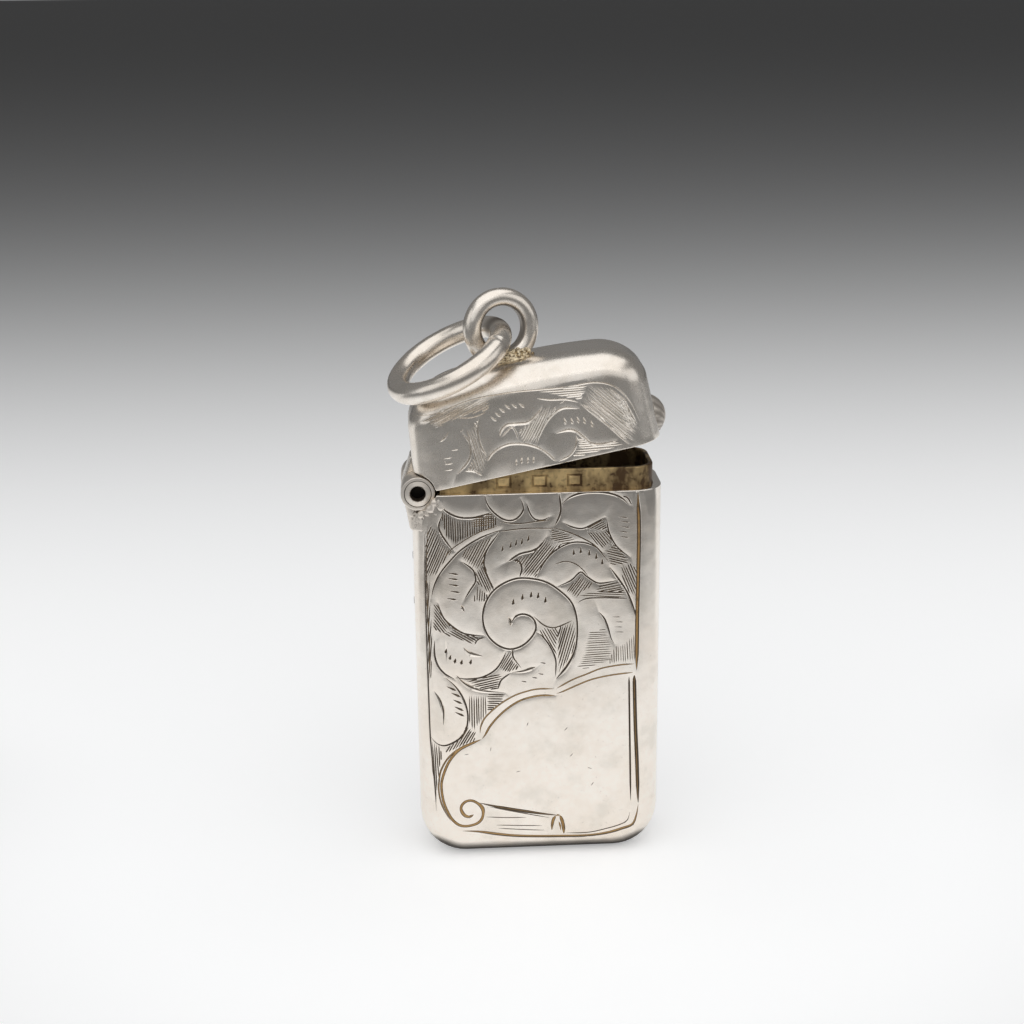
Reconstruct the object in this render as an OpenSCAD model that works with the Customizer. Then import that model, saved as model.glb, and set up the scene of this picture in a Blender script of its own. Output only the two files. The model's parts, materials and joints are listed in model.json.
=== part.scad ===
// Vesta case: a pocket match case with a hinged lid, a fixed loop and a loose hanging ring.
// Origin at the centre of the base, +X toward the thumb end, -Y toward the engraved front, +Z up.
// All sizes are in millimetres.

/* [Case] */
// Width of the body from narrow side to narrow side
case_w = 23; // [20:0.5:27]
// Depth of the body from front to back
case_d = 9; // [8.4:0.1:10]
// Height of the body from base to rim
body_h = 36.6; // [33:0.2:42]
// Rounding of every long edge
edge_r = 2.8; // [2.4:0.1:3]
// Corner radius at the base, seen from the front
foot_r = 3.3; // [3.1:0.1:4.5]
// Sheet thickness of the body
body_wall = 0.8; // [0.6:0.05:0.9]

/* [Lid] */
// Height of the lid from rim to crown
lid_h = 9.6; // [8.6:0.1:11]
// Corner radius at the crown's thumb end, seen from the front
crown_r = 3.7; // [3.2:0.1:4.6]
// Corner radius at the crown's hinge end, seen from the front
heel_r = 3.2; // [3.1:0.1:4.2]
// Lean of the lid's hinge end, inward toward the crown; its sine and cosine are true to 6 figures
heel_lean = 7.0315; // [0:0.0001:9]
// Setback of the lid's hinge end from the body's narrow side, at the rim
heel_set = 0.35; // [0:0.05:0.6]
// Sheet thickness of the lid
lid_wall = 0.45; // [0.35:0.05:0.5]
// Overhang of the lid past the body at the thumb end
lid_lip = 0.3; // [0:0.05:0.5]
// Seam between lid and rim when shut
seam = 0.05; // [0.02:0.01:0.1]
// Angle at which the lid stands open
lid_open = 11.5; // [0:0.5:90]

/* [Collar] */
// Thickness of the gilt collar
collar_wall = 0.4; // [0.3:0.05:0.5]
// Height of the collar above the rim
collar_rise = 2; // [1.6:0.1:3]
// Length of the collar let into the body
collar_seat = 3.2; // [2:0.1:5]
// Distance from the hinge side to the collar's open ends
collar_end = 2.6; // [2.2:0.1:4]

/* [Hinge] */
// Distance of the hinge axis inside the narrow side
hinge_inset = 0.6; // [0.45:0.05:0.8]
// Length of the three knuckles together
hinge_len = 7.6; // [7:0.1:8]
// Outer radius of the knuckle tube
knuckle_r = 1.35; // [1.2:0.05:1.5]
// Radius of the hinge pin
pin_r = 0.7; // [0.5:0.05:0.8]
// Running clearance of the pin in the lid's knuckle
pin_play = 0.04; // [0.02:0.01:0.08]
// Side clearance between neighbouring knuckles
knuckle_gap = 0.08; // [0.05:0.01:0.15]
// Depth of the pin's end below the knuckle's front face
pin_recess = 1.1; // [0.2:0.1:1.3]
// Depth of the pin's end below the knuckle's rear face
pin_tail = 0.3; // [0.1:0.1:1]
// Clearance of the bed that a turning knuckle lies in
bed_gap = 0.15; // [0.1:0.01:0.25]
// Radius of the scallop cut in the lid's corners beside the hinge
notch_r = 1.6; // [1.55:0.05:2]
// Radius cut in the body's bearer for the lid's strap to swing through
pass_r = 1.9; // [1.85:0.05:2.2]
// Height of the body's bearer below the axis
bearer_h = 3.6; // [2.8:0.1:4.5]
// Height of the lid's strap above the axis
strap_h = 2.9; // [2.4:0.1:3.6]
// Thickness of the body's bearer at its thin end
bearer_t = 0.4; // [0.25:0.05:0.5]
// Thickness of the lid's strap at its thin end
strap_t = 0.15; // [0.1:0.05:0.3]
// Height above the axis at which the lid's strap begins to thin
strap_knee = 0.5; // [0.3:0.1:0.7]

/* [Spring] */
// Thickness of the leaf spring
leaf_t = 0.25; // [0.2:0.05:0.35]
// Width of the leaf spring
leaf_w = 1.6; // [1.2:0.1:1.7]
// Distance of the leaf's foot below the rim
leaf_foot = 13; // [11:0.5:16]
// Distance of the leaf's bend below the rim
leaf_bend = 5; // [4:0.5:6]
// Clearance drawn between leaf and lid knuckle
leaf_gap = 0.06; // [0.05:0.01:0.1]
// Radius of the rivets' shanks
rivet_r = 0.4; // [0.3:0.05:0.5]
// Radius of the rivets' heads
rivet_head_r = 0.7; // [0.6:0.05:0.75]
// Height of the rivets' heads
rivet_head_h = 0.3; // [0.2:0.05:0.4]
// Distance of the lower rivet above the leaf's foot
rivet_low = 1.5; // [1:0.1:2.5]
// Distance of the upper rivet below the leaf's bend
rivet_high = 2; // [1:0.1:2.5]
// Distance below the axis at which the leaf meets the knuckle's side
leaf_reach = 0.9; // [0.6:0.1:1.2]
// Length of the leaf above the axis before its lip
leaf_lip = 0.4; // [0.2:0.1:0.6]
// Height of the leaf's tip above the axis
leaf_tip = 1; // [0.8:0.1:1.2]

/* [Striker] */
// Length of the striker let into the base
striker_l = 14; // [10:0.5:15]
// Width of the striker
striker_w = 2.6; // [1.6:0.1:3]
// Thickness of the striker
striker_t = 0.9; // [0.85:0.05:1.2]
// Spacing of the striker's grooves
rib_pitch = 0.8; // [0.7:0.05:1.2]
// Depth of the striker's grooves
rib_depth = 0.22; // [0.12:0.02:0.26]

/* [Thumb piece] */
// Height of the thumb piece from top to bottom
thumb_h = 3.1; // [2.6:0.1:3.6]
// Projection of the thumb piece from the lid
thumb_out = 1; // [0.6:0.05:1.4]
// Height of the thumb piece's middle above the lid's lower edge
thumb_z = 1.7; // [1.5:0.1:2.2]
// Height of the thumb piece's lower cut above the rim
thumb_clear = 0.2; // [0.1:0.05:0.3]
// Radius of the nail groove across the thumb piece
nail_r = 0.3; // [0.2:0.05:0.4]
// Distance of the nail groove below the thumb piece's middle
nail_drop = 0.3; // [0:0.05:0.5]

/* [Loop] */
// Outer diameter of the fixed loop
loop_od = 7.2; // [6.6:0.1:8]
// Thickness of the loop's wire
loop_wire = 1.7; // [1.4:0.05:2]
// Wear that flattens the loop's bore
loop_wear = 0.1; // [0.05:0.01:0.2]
// Depth to which the loop is filed onto the crown
loop_sink = 0.7; // [0.4:0.05:1]
// Distance of the loop from the middle of the lid, toward the hinge
loop_off = 0.43; // [0:0.01:1]
// Turn of the loop away from the front
loop_twist = 18; // [-20:1:20]
// Radius of the solder round the loop's foot
solder_r = 2.6; // [2.4:0.1:3]
// Height of the solder
solder_h = 0.9; // [0.6:0.1:1.2]

/* [Ring] */
// Outer diameter of the hanging ring
ring_od = 12.4; // [12:0.1:14]
// Thickness of the ring's wire
ring_wire = 2; // [1.6:0.05:2.1]
// Way that the resting ring points, turned from the hinge end toward the front
ring_head = 12; // [4:1:18]
// Rock of the resting ring, its front side down
ring_rock = 6.5; // [0:0.5:9]
// Room drawn between the resting ring and the crown's corner, part of which its turn and rock take up
ring_rest = 0.17; // [0.15:0.01:0.5]
// Clearance between the resting ring's wire and the loop's bore on the hinge side
ring_gap = 0.65; // [0.3:0.05:0.8]

/* [Hidden] */
$fn = 64;
half_w = case_w / 2;
core = case_d / 2 - edge_r;
past = 2 * case_d;
hinge_x = hinge_inset - half_w;
knuckle_l = hinge_len / 3;
own_y = knuckle_l / 2 - knuckle_gap / 2;
far_y = knuckle_l / 2 + knuckle_gap / 2;
wall_x = body_wall - half_w;
leaf_x = hinge_x + knuckle_r + leaf_gap;
rivet_z = [body_h - leaf_foot + rivet_low, body_h - leaf_bend - rivet_high];
crown_z = body_h + lid_h;
crown_x = half_w + lid_lip - crown_r;
heel_z = crown_z - heel_r;
heel_run = heel_r / cos(heel_lean) + (heel_z - body_h) * tan(heel_lean);
heel_x = round(100 * (heel_run + heel_set - half_w)) / 100;
loop_x = lid_lip / 2 - loop_off;
thumb_x = half_w + lid_lip;
thumb_r = (pow(thumb_h / 2, 2) + pow(thumb_out, 2)) / (2 * thumb_out);
loop_r = (loop_od - loop_wire) / 2;
bore_r = loop_r - loop_wire / 2 + loop_wear;
loop_z = crown_z + loop_od / 2 - loop_sink;
ring_r = (ring_od - ring_wire) / 2;
ring_reach = ring_r + bore_r - ring_wire / 2 - ring_gap;
rest_run = ring_reach + sqrt(pow(ring_r, 2) - pow(core, 2));
corner_x = loop_x - heel_x;
corner_z = loop_z - heel_z;
rest_span = norm([corner_x, corner_z]);
rest_off = heel_r + ring_wire / 2 + ring_rest;
rest_fold = acos((pow(rest_run, 2) + pow(rest_span, 2) - pow(rest_off, 2)) / (2 * rest_run * rest_span));
flat_lean = asin((loop_z - crown_z - ring_wire / 2 - ring_rest) / rest_run);
corner_lean = atan2(corner_z, corner_x) - rest_fold;
ring_lean = rest_run * cos(corner_lean) > corner_x ? corner_lean : flat_lean;
rib_count = floor(striker_l / rib_pitch / 2);

silver = [0.78, 0.76, 0.72];
gilt = [0.72, 0.56, 0.3];
steel = [0.5, 0.5, 0.52];

// Level cut through the case: an oblong with round corners, drawn smaller all round by inset
module plan(inset) {
    r = edge_r - inset;
    translate([inset - half_w, -core]) square([case_w - 2 * inset, 2 * core]);
    translate([edge_r - half_w, -core - r]) square([case_w - 2 * edge_r, 2 * (core + r)]);
    for (x = [edge_r - half_w, half_w - edge_r], y = [-core, core]) translate([x, y]) circle(r);
}

// Cut across a case edge: full depth from x = start to x = flat, then rounded off
module edge_section(start, flat, inset) {
    r = edge_r - inset;
    intersection() {
        translate([start, -past]) square([flat + edge_r - start, 2 * past]);
        union() {
            translate([start, -core - r]) square([flat - start, 2 * (core + r)]);
            translate([start, -core]) square([flat + r - start, 2 * core]);
            for (y = [-core, core]) translate([flat, y]) circle(r);
        }
    }
}

// Turns an edge section about a front-to-back axis, from angle a through sweep
module turned_edge(a, sweep, start, flat, inset)
    rotate([90, 0, 0]) rotate([0, 0, a]) rotate_extrude(angle = sweep) edge_section(start, flat, inset);

// The body's form, closed at the foot; rise carries the upright walls past the rim
module body_form(inset, rise = 0) {
    translate([0, 0, foot_r]) linear_extrude(body_h + rise - foot_r) plan(inset);
    translate([foot_r - half_w, 0, foot_r]) rotate([0, 90, 0])
        linear_extrude(case_w - 2 * foot_r) edge_section(0, foot_r - edge_r, inset);
    translate([half_w - foot_r, 0, foot_r]) turned_edge(-90, 90, 0, foot_r - edge_r, inset);
    translate([foot_r - half_w, 0, foot_r]) turned_edge(180, 90, 0, foot_r - edge_r, inset);
}

// The lid's form, shut; drop carries its walls below its mouth
module lid_form(inset, drop = 0) {
    base = body_h + seam - drop;
    deep = core + edge_r - inset;
    wall_l = (heel_z - base + heel_r) / cos(heel_lean);
    lap = (heel_r - edge_r) / 2;
    translate([0, deep, 0]) rotate([90, 0, 0]) linear_extrude(2 * deep) polygon([
        [heel_x, crown_z - edge_r], [heel_x, heel_z], [heel_x - lap, heel_z - lap],
        [heel_x - lap - (heel_z - lap - base) * tan(heel_lean), base],
        [crown_x, base], [crown_x, crown_z - edge_r]]);
    translate([crown_x, 0, base]) linear_extrude(crown_z - crown_r - base)
        edge_section(0, crown_r - edge_r, inset);
    translate([crown_x, 0, crown_z - crown_r]) turned_edge(0, 90, 0, crown_r - edge_r, inset);
    translate([crown_x, 0, crown_z - crown_r]) rotate([0, -90, 0]) linear_extrude(crown_x - heel_x)
        edge_section(0, crown_r - edge_r, inset);
    translate([heel_x, 0, heel_z]) turned_edge(90, 90 - heel_lean, 0, heel_r - edge_r, inset);
    difference() {
        translate([heel_x, 0, heel_z]) rotate([0, 180 + heel_lean, 0]) linear_extrude(wall_l)
            edge_section(0, heel_r - edge_r, inset);
        translate([-case_w, -past, base - lid_h]) cube([2 * case_w, 2 * past, lid_h]);
    }
}

// A cylinder on the hinge axis from y0 to y1
module barrel(r, y0, y1)
    translate([hinge_x, y0, body_h]) rotate([-90, 0, 0]) cylinder(r = r, h = y1 - y0);

// The same cylinder in front of and behind the middle, from y0 to y1 each way
module barrel_pair(r, y0, y1) {
    barrel(r, y0, y1);
    barrel(r, -y1, -y0);
}

// A piece of knuckle tube
module tube(bore, y0, y1) difference() {
    barrel(knuckle_r, y0, y1);
    barrel(bore, y0 - 1, y1 + 1);
}

// A bearer on the narrow side, front to back over half_y each way, with an outline drawn from the axis
module strap(half_y, outline) translate([hinge_x, half_y, body_h]) rotate([90, 0, 0])
    linear_extrude(2 * half_y) polygon(outline);

// Swings a piece drawn on the shut lid to where the lid stands
module on_lid() translate([hinge_x, 0, body_h]) rotate([0, -lid_open, 0])
    translate([-hinge_x, 0, -body_h]) children();

// Places a piece drawn at the loop's centre on the shut lid
module at_loop() translate([loop_x, 0, loop_z]) rotate([0, 0, loop_twist]) children();

module body_shell() color(silver) difference() {
    body_form(0);
    body_form(body_wall, 1);
    barrel(knuckle_r + bed_gap, -far_y, far_y);
    barrel_pair(knuckle_r, far_y, past);
    translate([-striker_l / 2, -striker_w / 2, -1]) cube([striker_l, striker_w, body_wall + 2]);
    for (z = rivet_z) translate([-half_w - 1, 0, z]) rotate([0, 90, 0])
        cylinder(r = rivet_r, h = body_wall + 2);
}

module striker_plate() color(silver) difference() {
    translate([-striker_l / 2, -striker_w / 2, 0]) cube([striker_l, striker_w, striker_t]);
    for (k = [0.5 - rib_count : rib_count - 0.5]) translate([k * rib_pitch, striker_w, 0])
        rotate([90, 0, 0]) linear_extrude(2 * striker_w)
            polygon([[-rib_depth, -0.01], [0, rib_depth], [rib_depth, -0.01]]);
}

module collar() color(gilt) difference() {
    translate([0, 0, body_h - collar_seat]) linear_extrude(collar_seat + collar_rise) plan(body_wall);
    translate([0, 0, body_h - collar_seat - 1]) linear_extrude(collar_seat + collar_rise + 2)
        plan(body_wall + collar_wall);
    translate([-case_w, -past, 0]) cube([half_w + collar_end, 2 * past, 2 * body_h]);
}

module body_bearer() color(silver) difference() {
    strap(hinge_len / 2, [[-knuckle_r, 0], [-hinge_inset - bearer_t, -bearer_h], [edge_r, -bearer_h],
        [edge_r, 0]]);
    body_form(0, 1);
    barrel(pass_r, -far_y, far_y);
    barrel_pair(knuckle_r, far_y, hinge_len);
    for (z = rivet_z) translate([-case_w, 0, z]) rotate([0, 90, 0]) cylinder(r = rivet_r, h = case_w);
}

module front_knuckle() color(silver) tube(pin_r, -hinge_len / 2, -far_y);

module rear_knuckle() color(silver) tube(pin_r, far_y, hinge_len / 2);

module hinge_pin() color(steel) barrel(pin_r, pin_recess - hinge_len / 2, hinge_len / 2 - pin_tail);

module lid_spring() color(steel) difference() {
    translate([0, leaf_w / 2, body_h]) rotate([90, 0, 0]) linear_extrude(leaf_w) polygon([
        [wall_x, -leaf_foot], [wall_x + leaf_t, -leaf_foot], [wall_x + leaf_t, -leaf_bend],
        [leaf_x + leaf_t, -leaf_reach], [leaf_x + leaf_t, leaf_lip], [leaf_x + 2 * leaf_t, leaf_tip],
        [leaf_x + leaf_t, leaf_tip], [leaf_x, leaf_lip], [leaf_x, -leaf_reach], [wall_x, -leaf_bend]]);
    for (z = rivet_z) translate([-case_w, 0, z]) rotate([0, 90, 0]) cylinder(r = rivet_r, h = case_w);
}

module spring_rivets() color(steel) for (z = rivet_z) translate([-half_w, 0, z]) rotate([0, 90, 0]) {
    cylinder(r = rivet_r, h = body_wall + leaf_t + rivet_head_h / 2);
    translate([0, 0, body_wall + leaf_t]) cylinder(r = rivet_head_r, h = rivet_head_h);
}

module lid_shell() color(silver) on_lid() difference() {
    lid_form(0);
    lid_form(lid_wall, 1);
    barrel(knuckle_r, -own_y, own_y);
    barrel_pair(knuckle_r + bed_gap, own_y, hinge_len / 2);
    barrel_pair(notch_r, hinge_len / 2, past);
}

module lid_bearer() color(silver) on_lid() difference() {
    strap(own_y, [[-knuckle_r, 0], [-knuckle_r, strap_knee],
        [strap_h * tan(heel_lean) + heel_set - hinge_inset - strap_t, strap_h], [knuckle_r, strap_h],
        [knuckle_r, 0]]);
    lid_form(0, 1);
    barrel(knuckle_r, -past, past);
}

module lid_knuckle() color(silver) on_lid() tube(pin_r + pin_play, -own_y, own_y);

module thumb_piece() color(silver) on_lid() difference() {
    intersection() {
        translate([thumb_x + thumb_out - thumb_r, 0, body_h + thumb_z]) sphere(r = thumb_r);
        translate([half_w - edge_r, -case_d / 2, body_h + thumb_clear]) cube([case_d, case_d, lid_h]);
    }
    lid_form(0, 1);
    translate([thumb_x + thumb_out, -past, body_h + thumb_z - nail_drop]) rotate([-90, 0, 0])
        cylinder(r = nail_r, h = 2 * past);
}

module loop_torus() rotate([90, 0, 0]) rotate_extrude() intersection() {
    translate([loop_r, 0]) circle(loop_wire / 2);
    translate([bore_r, -loop_wire]) square([loop_od, 2 * loop_wire]);
}

// Everything above the crown of the shut lid
module above_crown() translate([-case_w, -past, crown_z]) cube([2 * case_w, 2 * past, loop_od + 1]);

module loop() color(silver) on_lid() intersection() {
    at_loop() loop_torus();
    above_crown();
}

module loop_solder() color(gilt) on_lid() difference() {
    translate([loop_x, 0, crown_z]) rotate_extrude() difference() {
        translate([0, -solder_h]) square([solder_r, 2 * solder_h]);
        translate([solder_r + 0.1, solder_h + 0.15]) circle(solder_h);
    }
    at_loop() loop_torus();
    lid_form(0);
}

module ring() color(silver) on_lid() translate([loop_x, 0, loop_z]) rotate([0, 0, ring_head])
    rotate([0, -ring_lean, 0]) rotate([ring_rock, 0, 0]) translate([-ring_reach, 0, 0])
        rotate_extrude() translate([ring_r, 0]) circle(ring_wire / 2);

body_shell();
striker_plate();
collar();
body_bearer();
front_knuckle();
rear_knuckle();
hinge_pin();
lid_spring();
spring_rivets();
lid_shell();
lid_bearer();
lid_knuckle();
thumb_piece();
loop();
loop_solder();
ring();
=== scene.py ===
"""Looks of the vesta case: engraved silver body and lid, gilt collar, hinge, loop and hanging ring.

Laid out as an add-on and run as a script. Settings are in metres. The engraving's drawing, the shells
built round it and the lengths among the classes' own constants are in millimetres.
"""

import json
import math
import random
from contextlib import contextmanager

import bmesh
import bpy
from mathutils import Matrix, Vector
from mathutils.geometry import delaunay_2d_cdt


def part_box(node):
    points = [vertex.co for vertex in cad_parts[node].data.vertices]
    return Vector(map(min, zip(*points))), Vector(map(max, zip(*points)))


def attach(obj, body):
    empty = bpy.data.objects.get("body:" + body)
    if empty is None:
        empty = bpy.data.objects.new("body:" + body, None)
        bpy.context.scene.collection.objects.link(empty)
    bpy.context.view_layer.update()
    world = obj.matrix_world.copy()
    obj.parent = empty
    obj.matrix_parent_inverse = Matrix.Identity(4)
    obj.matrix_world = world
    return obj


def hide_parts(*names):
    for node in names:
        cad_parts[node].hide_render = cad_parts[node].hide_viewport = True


bl_info = {
    "name": "Vesta case",
    "version": (1, 0, 0),
    "blender": (4, 5, 0),
    "location": "View3D > Sidebar > Vesta case",
    "description": "Dresses the packed vesta case with engraving, wear and finishes",
    "category": "Object",
}

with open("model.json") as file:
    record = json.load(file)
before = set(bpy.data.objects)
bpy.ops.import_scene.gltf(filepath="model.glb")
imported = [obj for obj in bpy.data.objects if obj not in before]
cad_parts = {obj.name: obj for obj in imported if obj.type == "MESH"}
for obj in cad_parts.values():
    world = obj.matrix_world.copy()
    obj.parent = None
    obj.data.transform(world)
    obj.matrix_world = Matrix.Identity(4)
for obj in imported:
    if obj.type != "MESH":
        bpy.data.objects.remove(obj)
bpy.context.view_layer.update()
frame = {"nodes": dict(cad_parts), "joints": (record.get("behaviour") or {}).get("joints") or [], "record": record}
MM = 0.001
BLACK = (0, 0, 0)
# The dirt that pieces carry at their vertices goes by this name.
DIRT = "cut"
# Edges sharper than this stay sharp, and a face is flat when this share of its normal lies along an axis.
CREASE_DEGREES = 40
FLAT = 0.9
# The striker's bed goes this share of the way through the sheet.
BED_SHARE = 0.9
BODY_LOW, BODY_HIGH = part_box("body_shell")
COLLAR_LOW, COLLAR_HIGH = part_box("collar")
RIVETS_LOW, RIVETS_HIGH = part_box("spring_rivets")
JOINTS = {joint["name"]: joint for joint in frame["joints"]}
MOUNTS = {mount["name"]: mount for mount in frame["record"]["mounts"]}
HINGE = Vector(JOINTS["lid_hinge"]["pos_m"])
LID_OPEN = math.radians(-JOINTS["lid_hinge"]["range_deg"][0])
LID_TURN = Matrix.Translation(HINGE) @ Matrix.Rotation(-LID_OPEN, 4, "Y") @ Matrix.Translation(-HINGE)
LOOP_CENTRE = Vector(JOINTS["ring_swing"]["pos_m"])
LOOP_AXIS = Vector(JOINTS["ring_swing"]["axis"])
RING_CENTRE = Vector(MOUNTS["hanging_ring"]["pos_m"])
RING_AXIS = Vector(MOUNTS["hanging_ring"]["axis"])


def in_mm(value):
    """A setting in millimetres."""
    return value / MM


def clamp(value):
    """A number held between 0 and 1."""
    return min(1, max(0, value))


def number(title, words, value, **kind):
    """A number that a user may change."""
    return bpy.props.FloatProperty(name=title, description=words, default=value, **kind)


def size(title, words, millimetres):
    """A length that a user may change."""
    return number(title, words, millimetres * MM, precision=5, unit="LENGTH")


def turn(title, words, degrees):
    """An angle that a user may change."""
    return number(title, words, math.radians(degrees), subtype="ANGLE")


def tint(title, words, shade):
    """A colour that a user may change."""
    return bpy.props.FloatVectorProperty(
        name=title, description=words, default=shade, size=3, min=0, max=1, subtype="COLOR")


class VestaSizes(bpy.types.PropertyGroup):
    """Sizes of the pieces that the frame's boxes don't give."""

    edge_round: size("Edge rounding", "Rounding of every long edge", 2.8)
    foot_corner: size("Foot corner", "Corner radius at the base", 4.4)
    crown_corner: size("Crown corner", "Corner radius at the crown", 3.7)
    crown_bow: size("Crown bow", "Radius of the crown's slight arch", 70)
    lid_height: size("Lid height", "Height of the lid from rim to crown", 9.6)
    heel_lean: turn("Heel lean", "Lean of the lid's hinge end, inward toward the crown", 7.03)
    heel_set: size("Heel setback", "How far the lid's hinge end stands back at the rim", 0.35)
    thumb_lean: turn("Thumb end lean", "Lean of the lid's thumb end, inward toward the crown", 1.5)
    lid_lip: size("Lid lip", "Overhang of the lid at the thumb end", 0.3)
    seam: size("Seam", "Seam between lid and rim when shut", 0.05)
    body_sheet: size("Body sheet", "Thickness of the body's wall", 0.8)
    lid_sheet: size("Lid sheet", "Thickness of the lid's wall", 0.45)
    collar_sheet: size("Collar sheet", "Thickness of the collar", 0.4)
    rim_round: size("Rim rounding", "Worn rounding of the rims", 0.1)
    hatch_pitch: size("Hatch pitch", "Spacing of the shading lines", 0.21)
    hinge_half: size("Half hinge", "Half the length of the three knuckles", 3.8)
    body_bed: size("Body's hinge bed", "Radius cut in the body for the knuckles", 1.58)
    lid_bed: size("Lid's hinge bed", "Radius cut in the lid for the knuckles", 1.64)
    lid_scallop: size("Lid's scallop", "Radius cut in the lid's corners beside the hinge", 1.62)
    knuckle: size("Knuckle", "Outer radius of the body's knuckles", 1.55)
    lid_knuckle: size("Lid's knuckle", "Outer radius of the lid's knuckle, clear of the spring", 1.35)
    strap_out: size("Strap projection", "How far the straps stand out from the hinge's axis", 1.4)
    bore: size("Knuckle bore", "Radius of the hole for the pin", 0.7)
    knuckle_gap: size("Knuckle gap", "Gap between neighbouring knuckles", 0.08)
    bearer_height: size("Bearer height", "Length of the body's bearer along the narrow side", 3.6)
    strap_height: size("Strap height", "Length of the lid's strap along the narrow side", 2.9)
    bearer_end: size("Bearer end", "Thickness of the body's bearer at its thin end", 0.2)
    strap_end: size("Strap end", "Thickness of the lid's strap at its thin end", 0.15)
    strap_knee: size("Strap knee", "Height above the axis where the lid's strap begins to thin", 0.5)
    strap_pass: size("Strap pass", "Radius kept free for the lid's strap", 1.9)
    striker_length: size("Striker length", "Length of the striker in the base", 14)
    striker_width: size("Striker width", "Width of the striker in the base", 2.6)
    thumb_height: size("Thumb piece height", "Height of the thumb piece", 3.6)
    thumb_out: size("Thumb piece projection", "How far the thumb piece stands out", 1.05)
    thumb_rise: size("Thumb piece rise", "Height of its middle above the rim", 1.6)
    loop_wire: size("Loop wire", "Thickness of the loop's wire", 1.7)
    loop_across: size("Loop across", "Outer diameter of the loop", 7.2)
    ring_wire: size("Ring wire", "Thickness of the ring's wire", 2)
    ring_across: size("Ring across", "Outer diameter of the ring", 12.4)


class VestaFinishes(bpy.types.PropertyGroup):
    """Colours of the metals and of the paper."""

    silver: tint("Silver", "Rubbed silver", (0.87, 0.815, 0.745))
    warm_silver: tint("Warm silver", "Silver with a breath of tarnish", (0.81, 0.735, 0.65))
    bloom: tint("Bloom", "Grey tarnish in patches", (0.46, 0.43, 0.36))
    tarnish: tint("Tarnish", "Dirt and tarnish in the engraving", (0.075, 0.054, 0.037))
    golden_dirt: tint("Golden dirt", "The lighter dirt in the edges of the shield", (0.56, 0.36, 0.15))
    gilt: tint("Gilt", "Worn gilding", (0.80, 0.59, 0.29))
    stain: tint("Stain", "Dark stains on the gilding", (0.10, 0.058, 0.027))
    solder: tint("Solder", "Golden solder", (0.87, 0.75, 0.54))
    steel: tint("Steel", "Dull steel", (0.20, 0.185, 0.17))
    old_steel: tint("Old steel", "Blackened steel of the pin", (0.022, 0.019, 0.016))
    paper: tint("Paper", "The pale surface that the case stands on", (0.97, 0.975, 0.98))


class VestaStage(bpy.types.PropertyGroup):
    """Camera and lamps."""

    camera_place: bpy.props.FloatVectorProperty(
        name="Camera place", description="Where the camera stands", size=3, precision=5,
        default=(-0.0106, -0.1516, 0.0799), subtype="TRANSLATION")
    camera_down: turn("Camera down", "How far the camera looks down", 16.99)
    camera_right: turn("Camera right", "How far the camera looks to the right", 3.18)
    camera_roll: turn("Camera roll", "How far the camera is tipped over", 0.68)
    lens: number("Lens", "Focal length in millimetres", 59.8)
    overhead: number("Overhead lamp", "Power of the soft overhead lamp in watts", 12)
    front_fill: number("Front fill", "Power of the dim panel behind the camera in watts", 7)
    side_fill: number("Side fill", "Power of each soft panel at the sides in watts", 2.6)
    surround: number("Surround", "Brightness of the room", 0.2)


class Shade:
    """A number, colour or vector in a material's nodes. Arithmetic on it adds Math nodes."""

    def __init__(self, tree, socket=None):
        self.tree = tree
        self.socket = socket

    def make(self, kind, settings=None, inputs=None, output=0):
        """Adds a node, sets it up, fills its sockets and gives one of its outputs."""
        node = self.tree.nodes.new(kind)
        for name, value in (settings or {}).items():
            setattr(node, name, value)
        for name, value in (inputs or {}).items():
            socket = node.inputs[name]
            if isinstance(value, Shade):
                self.tree.links.new(value.socket, socket)
            elif socket.type == "RGBA":
                socket.default_value = (*value, 1)
            else:
                socket.default_value = value
        return Shade(self.tree, node.outputs[output] if node.outputs else None)

    def calculate(self, operation, first, second):
        """One Math node on two numbers or shades."""
        return self.make("ShaderNodeMath", {"operation": operation}, {0: first, 1: second})

    def __add__(self, other):
        return self.calculate("ADD", self, other)

    __radd__ = __add__

    def __sub__(self, other):
        return self.calculate("SUBTRACT", self, other)

    def __rsub__(self, other):
        return self.calculate("SUBTRACT", other, self)

    def __mul__(self, other):
        return self.calculate("MULTIPLY", self, other)

    __rmul__ = __mul__

    def ramp(self, low, high):
        """0 at low, 1 at high, smooth between; low may be the greater."""
        return self.make("ShaderNodeMapRange", {"interpolation_type": "SMOOTHSTEP"},
                         {"Value": self, "From Min": low, "From Max": high})

    def mix(self, first, second):
        """A colour between two, by this number."""
        return self.make("ShaderNodeMix", {"data_type": "RGBA"}, {0: self, 6: first, 7: second}, 2)

    def noise(self, scale, detail=2, rough=0.5, stretch=None):
        """Cloudy variation from 0 to 1 over this place; stretch gives three scales for streaks."""
        place = self
        if stretch:
            place = self.make("ShaderNodeMapping", None, {"Vector": self, "Scale": stretch})
        return self.make("ShaderNodeTexNoise", None,
                         {"Vector": place, "Scale": scale, "Detail": detail, "Roughness": rough})

    def bump(self, distance):
        """A normal roughened by this height; distance is in millimetres."""
        return self.make("ShaderNodeBump", None, {"Height": self, "Strength": 1, "Distance": distance * MM})

    def dirt(self):
        """The dirt that a piece carries at its vertices."""
        return self.make("ShaderNodeAttribute", {"attribute_name": DIRT}, output="Fac")


def new_finish(name):
    """Makes an empty material; gives the place in millimetres on the piece that wears it."""
    material = bpy.data.materials.new(name)
    material.use_nodes = True
    material.node_tree.nodes.clear()
    place = Shade(material.node_tree).make("ShaderNodeTexCoord", output="Object")
    return place.make("ShaderNodeVectorMath", {"operation": "SCALE"}, {0: place, "Scale": 1 / MM})


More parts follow.
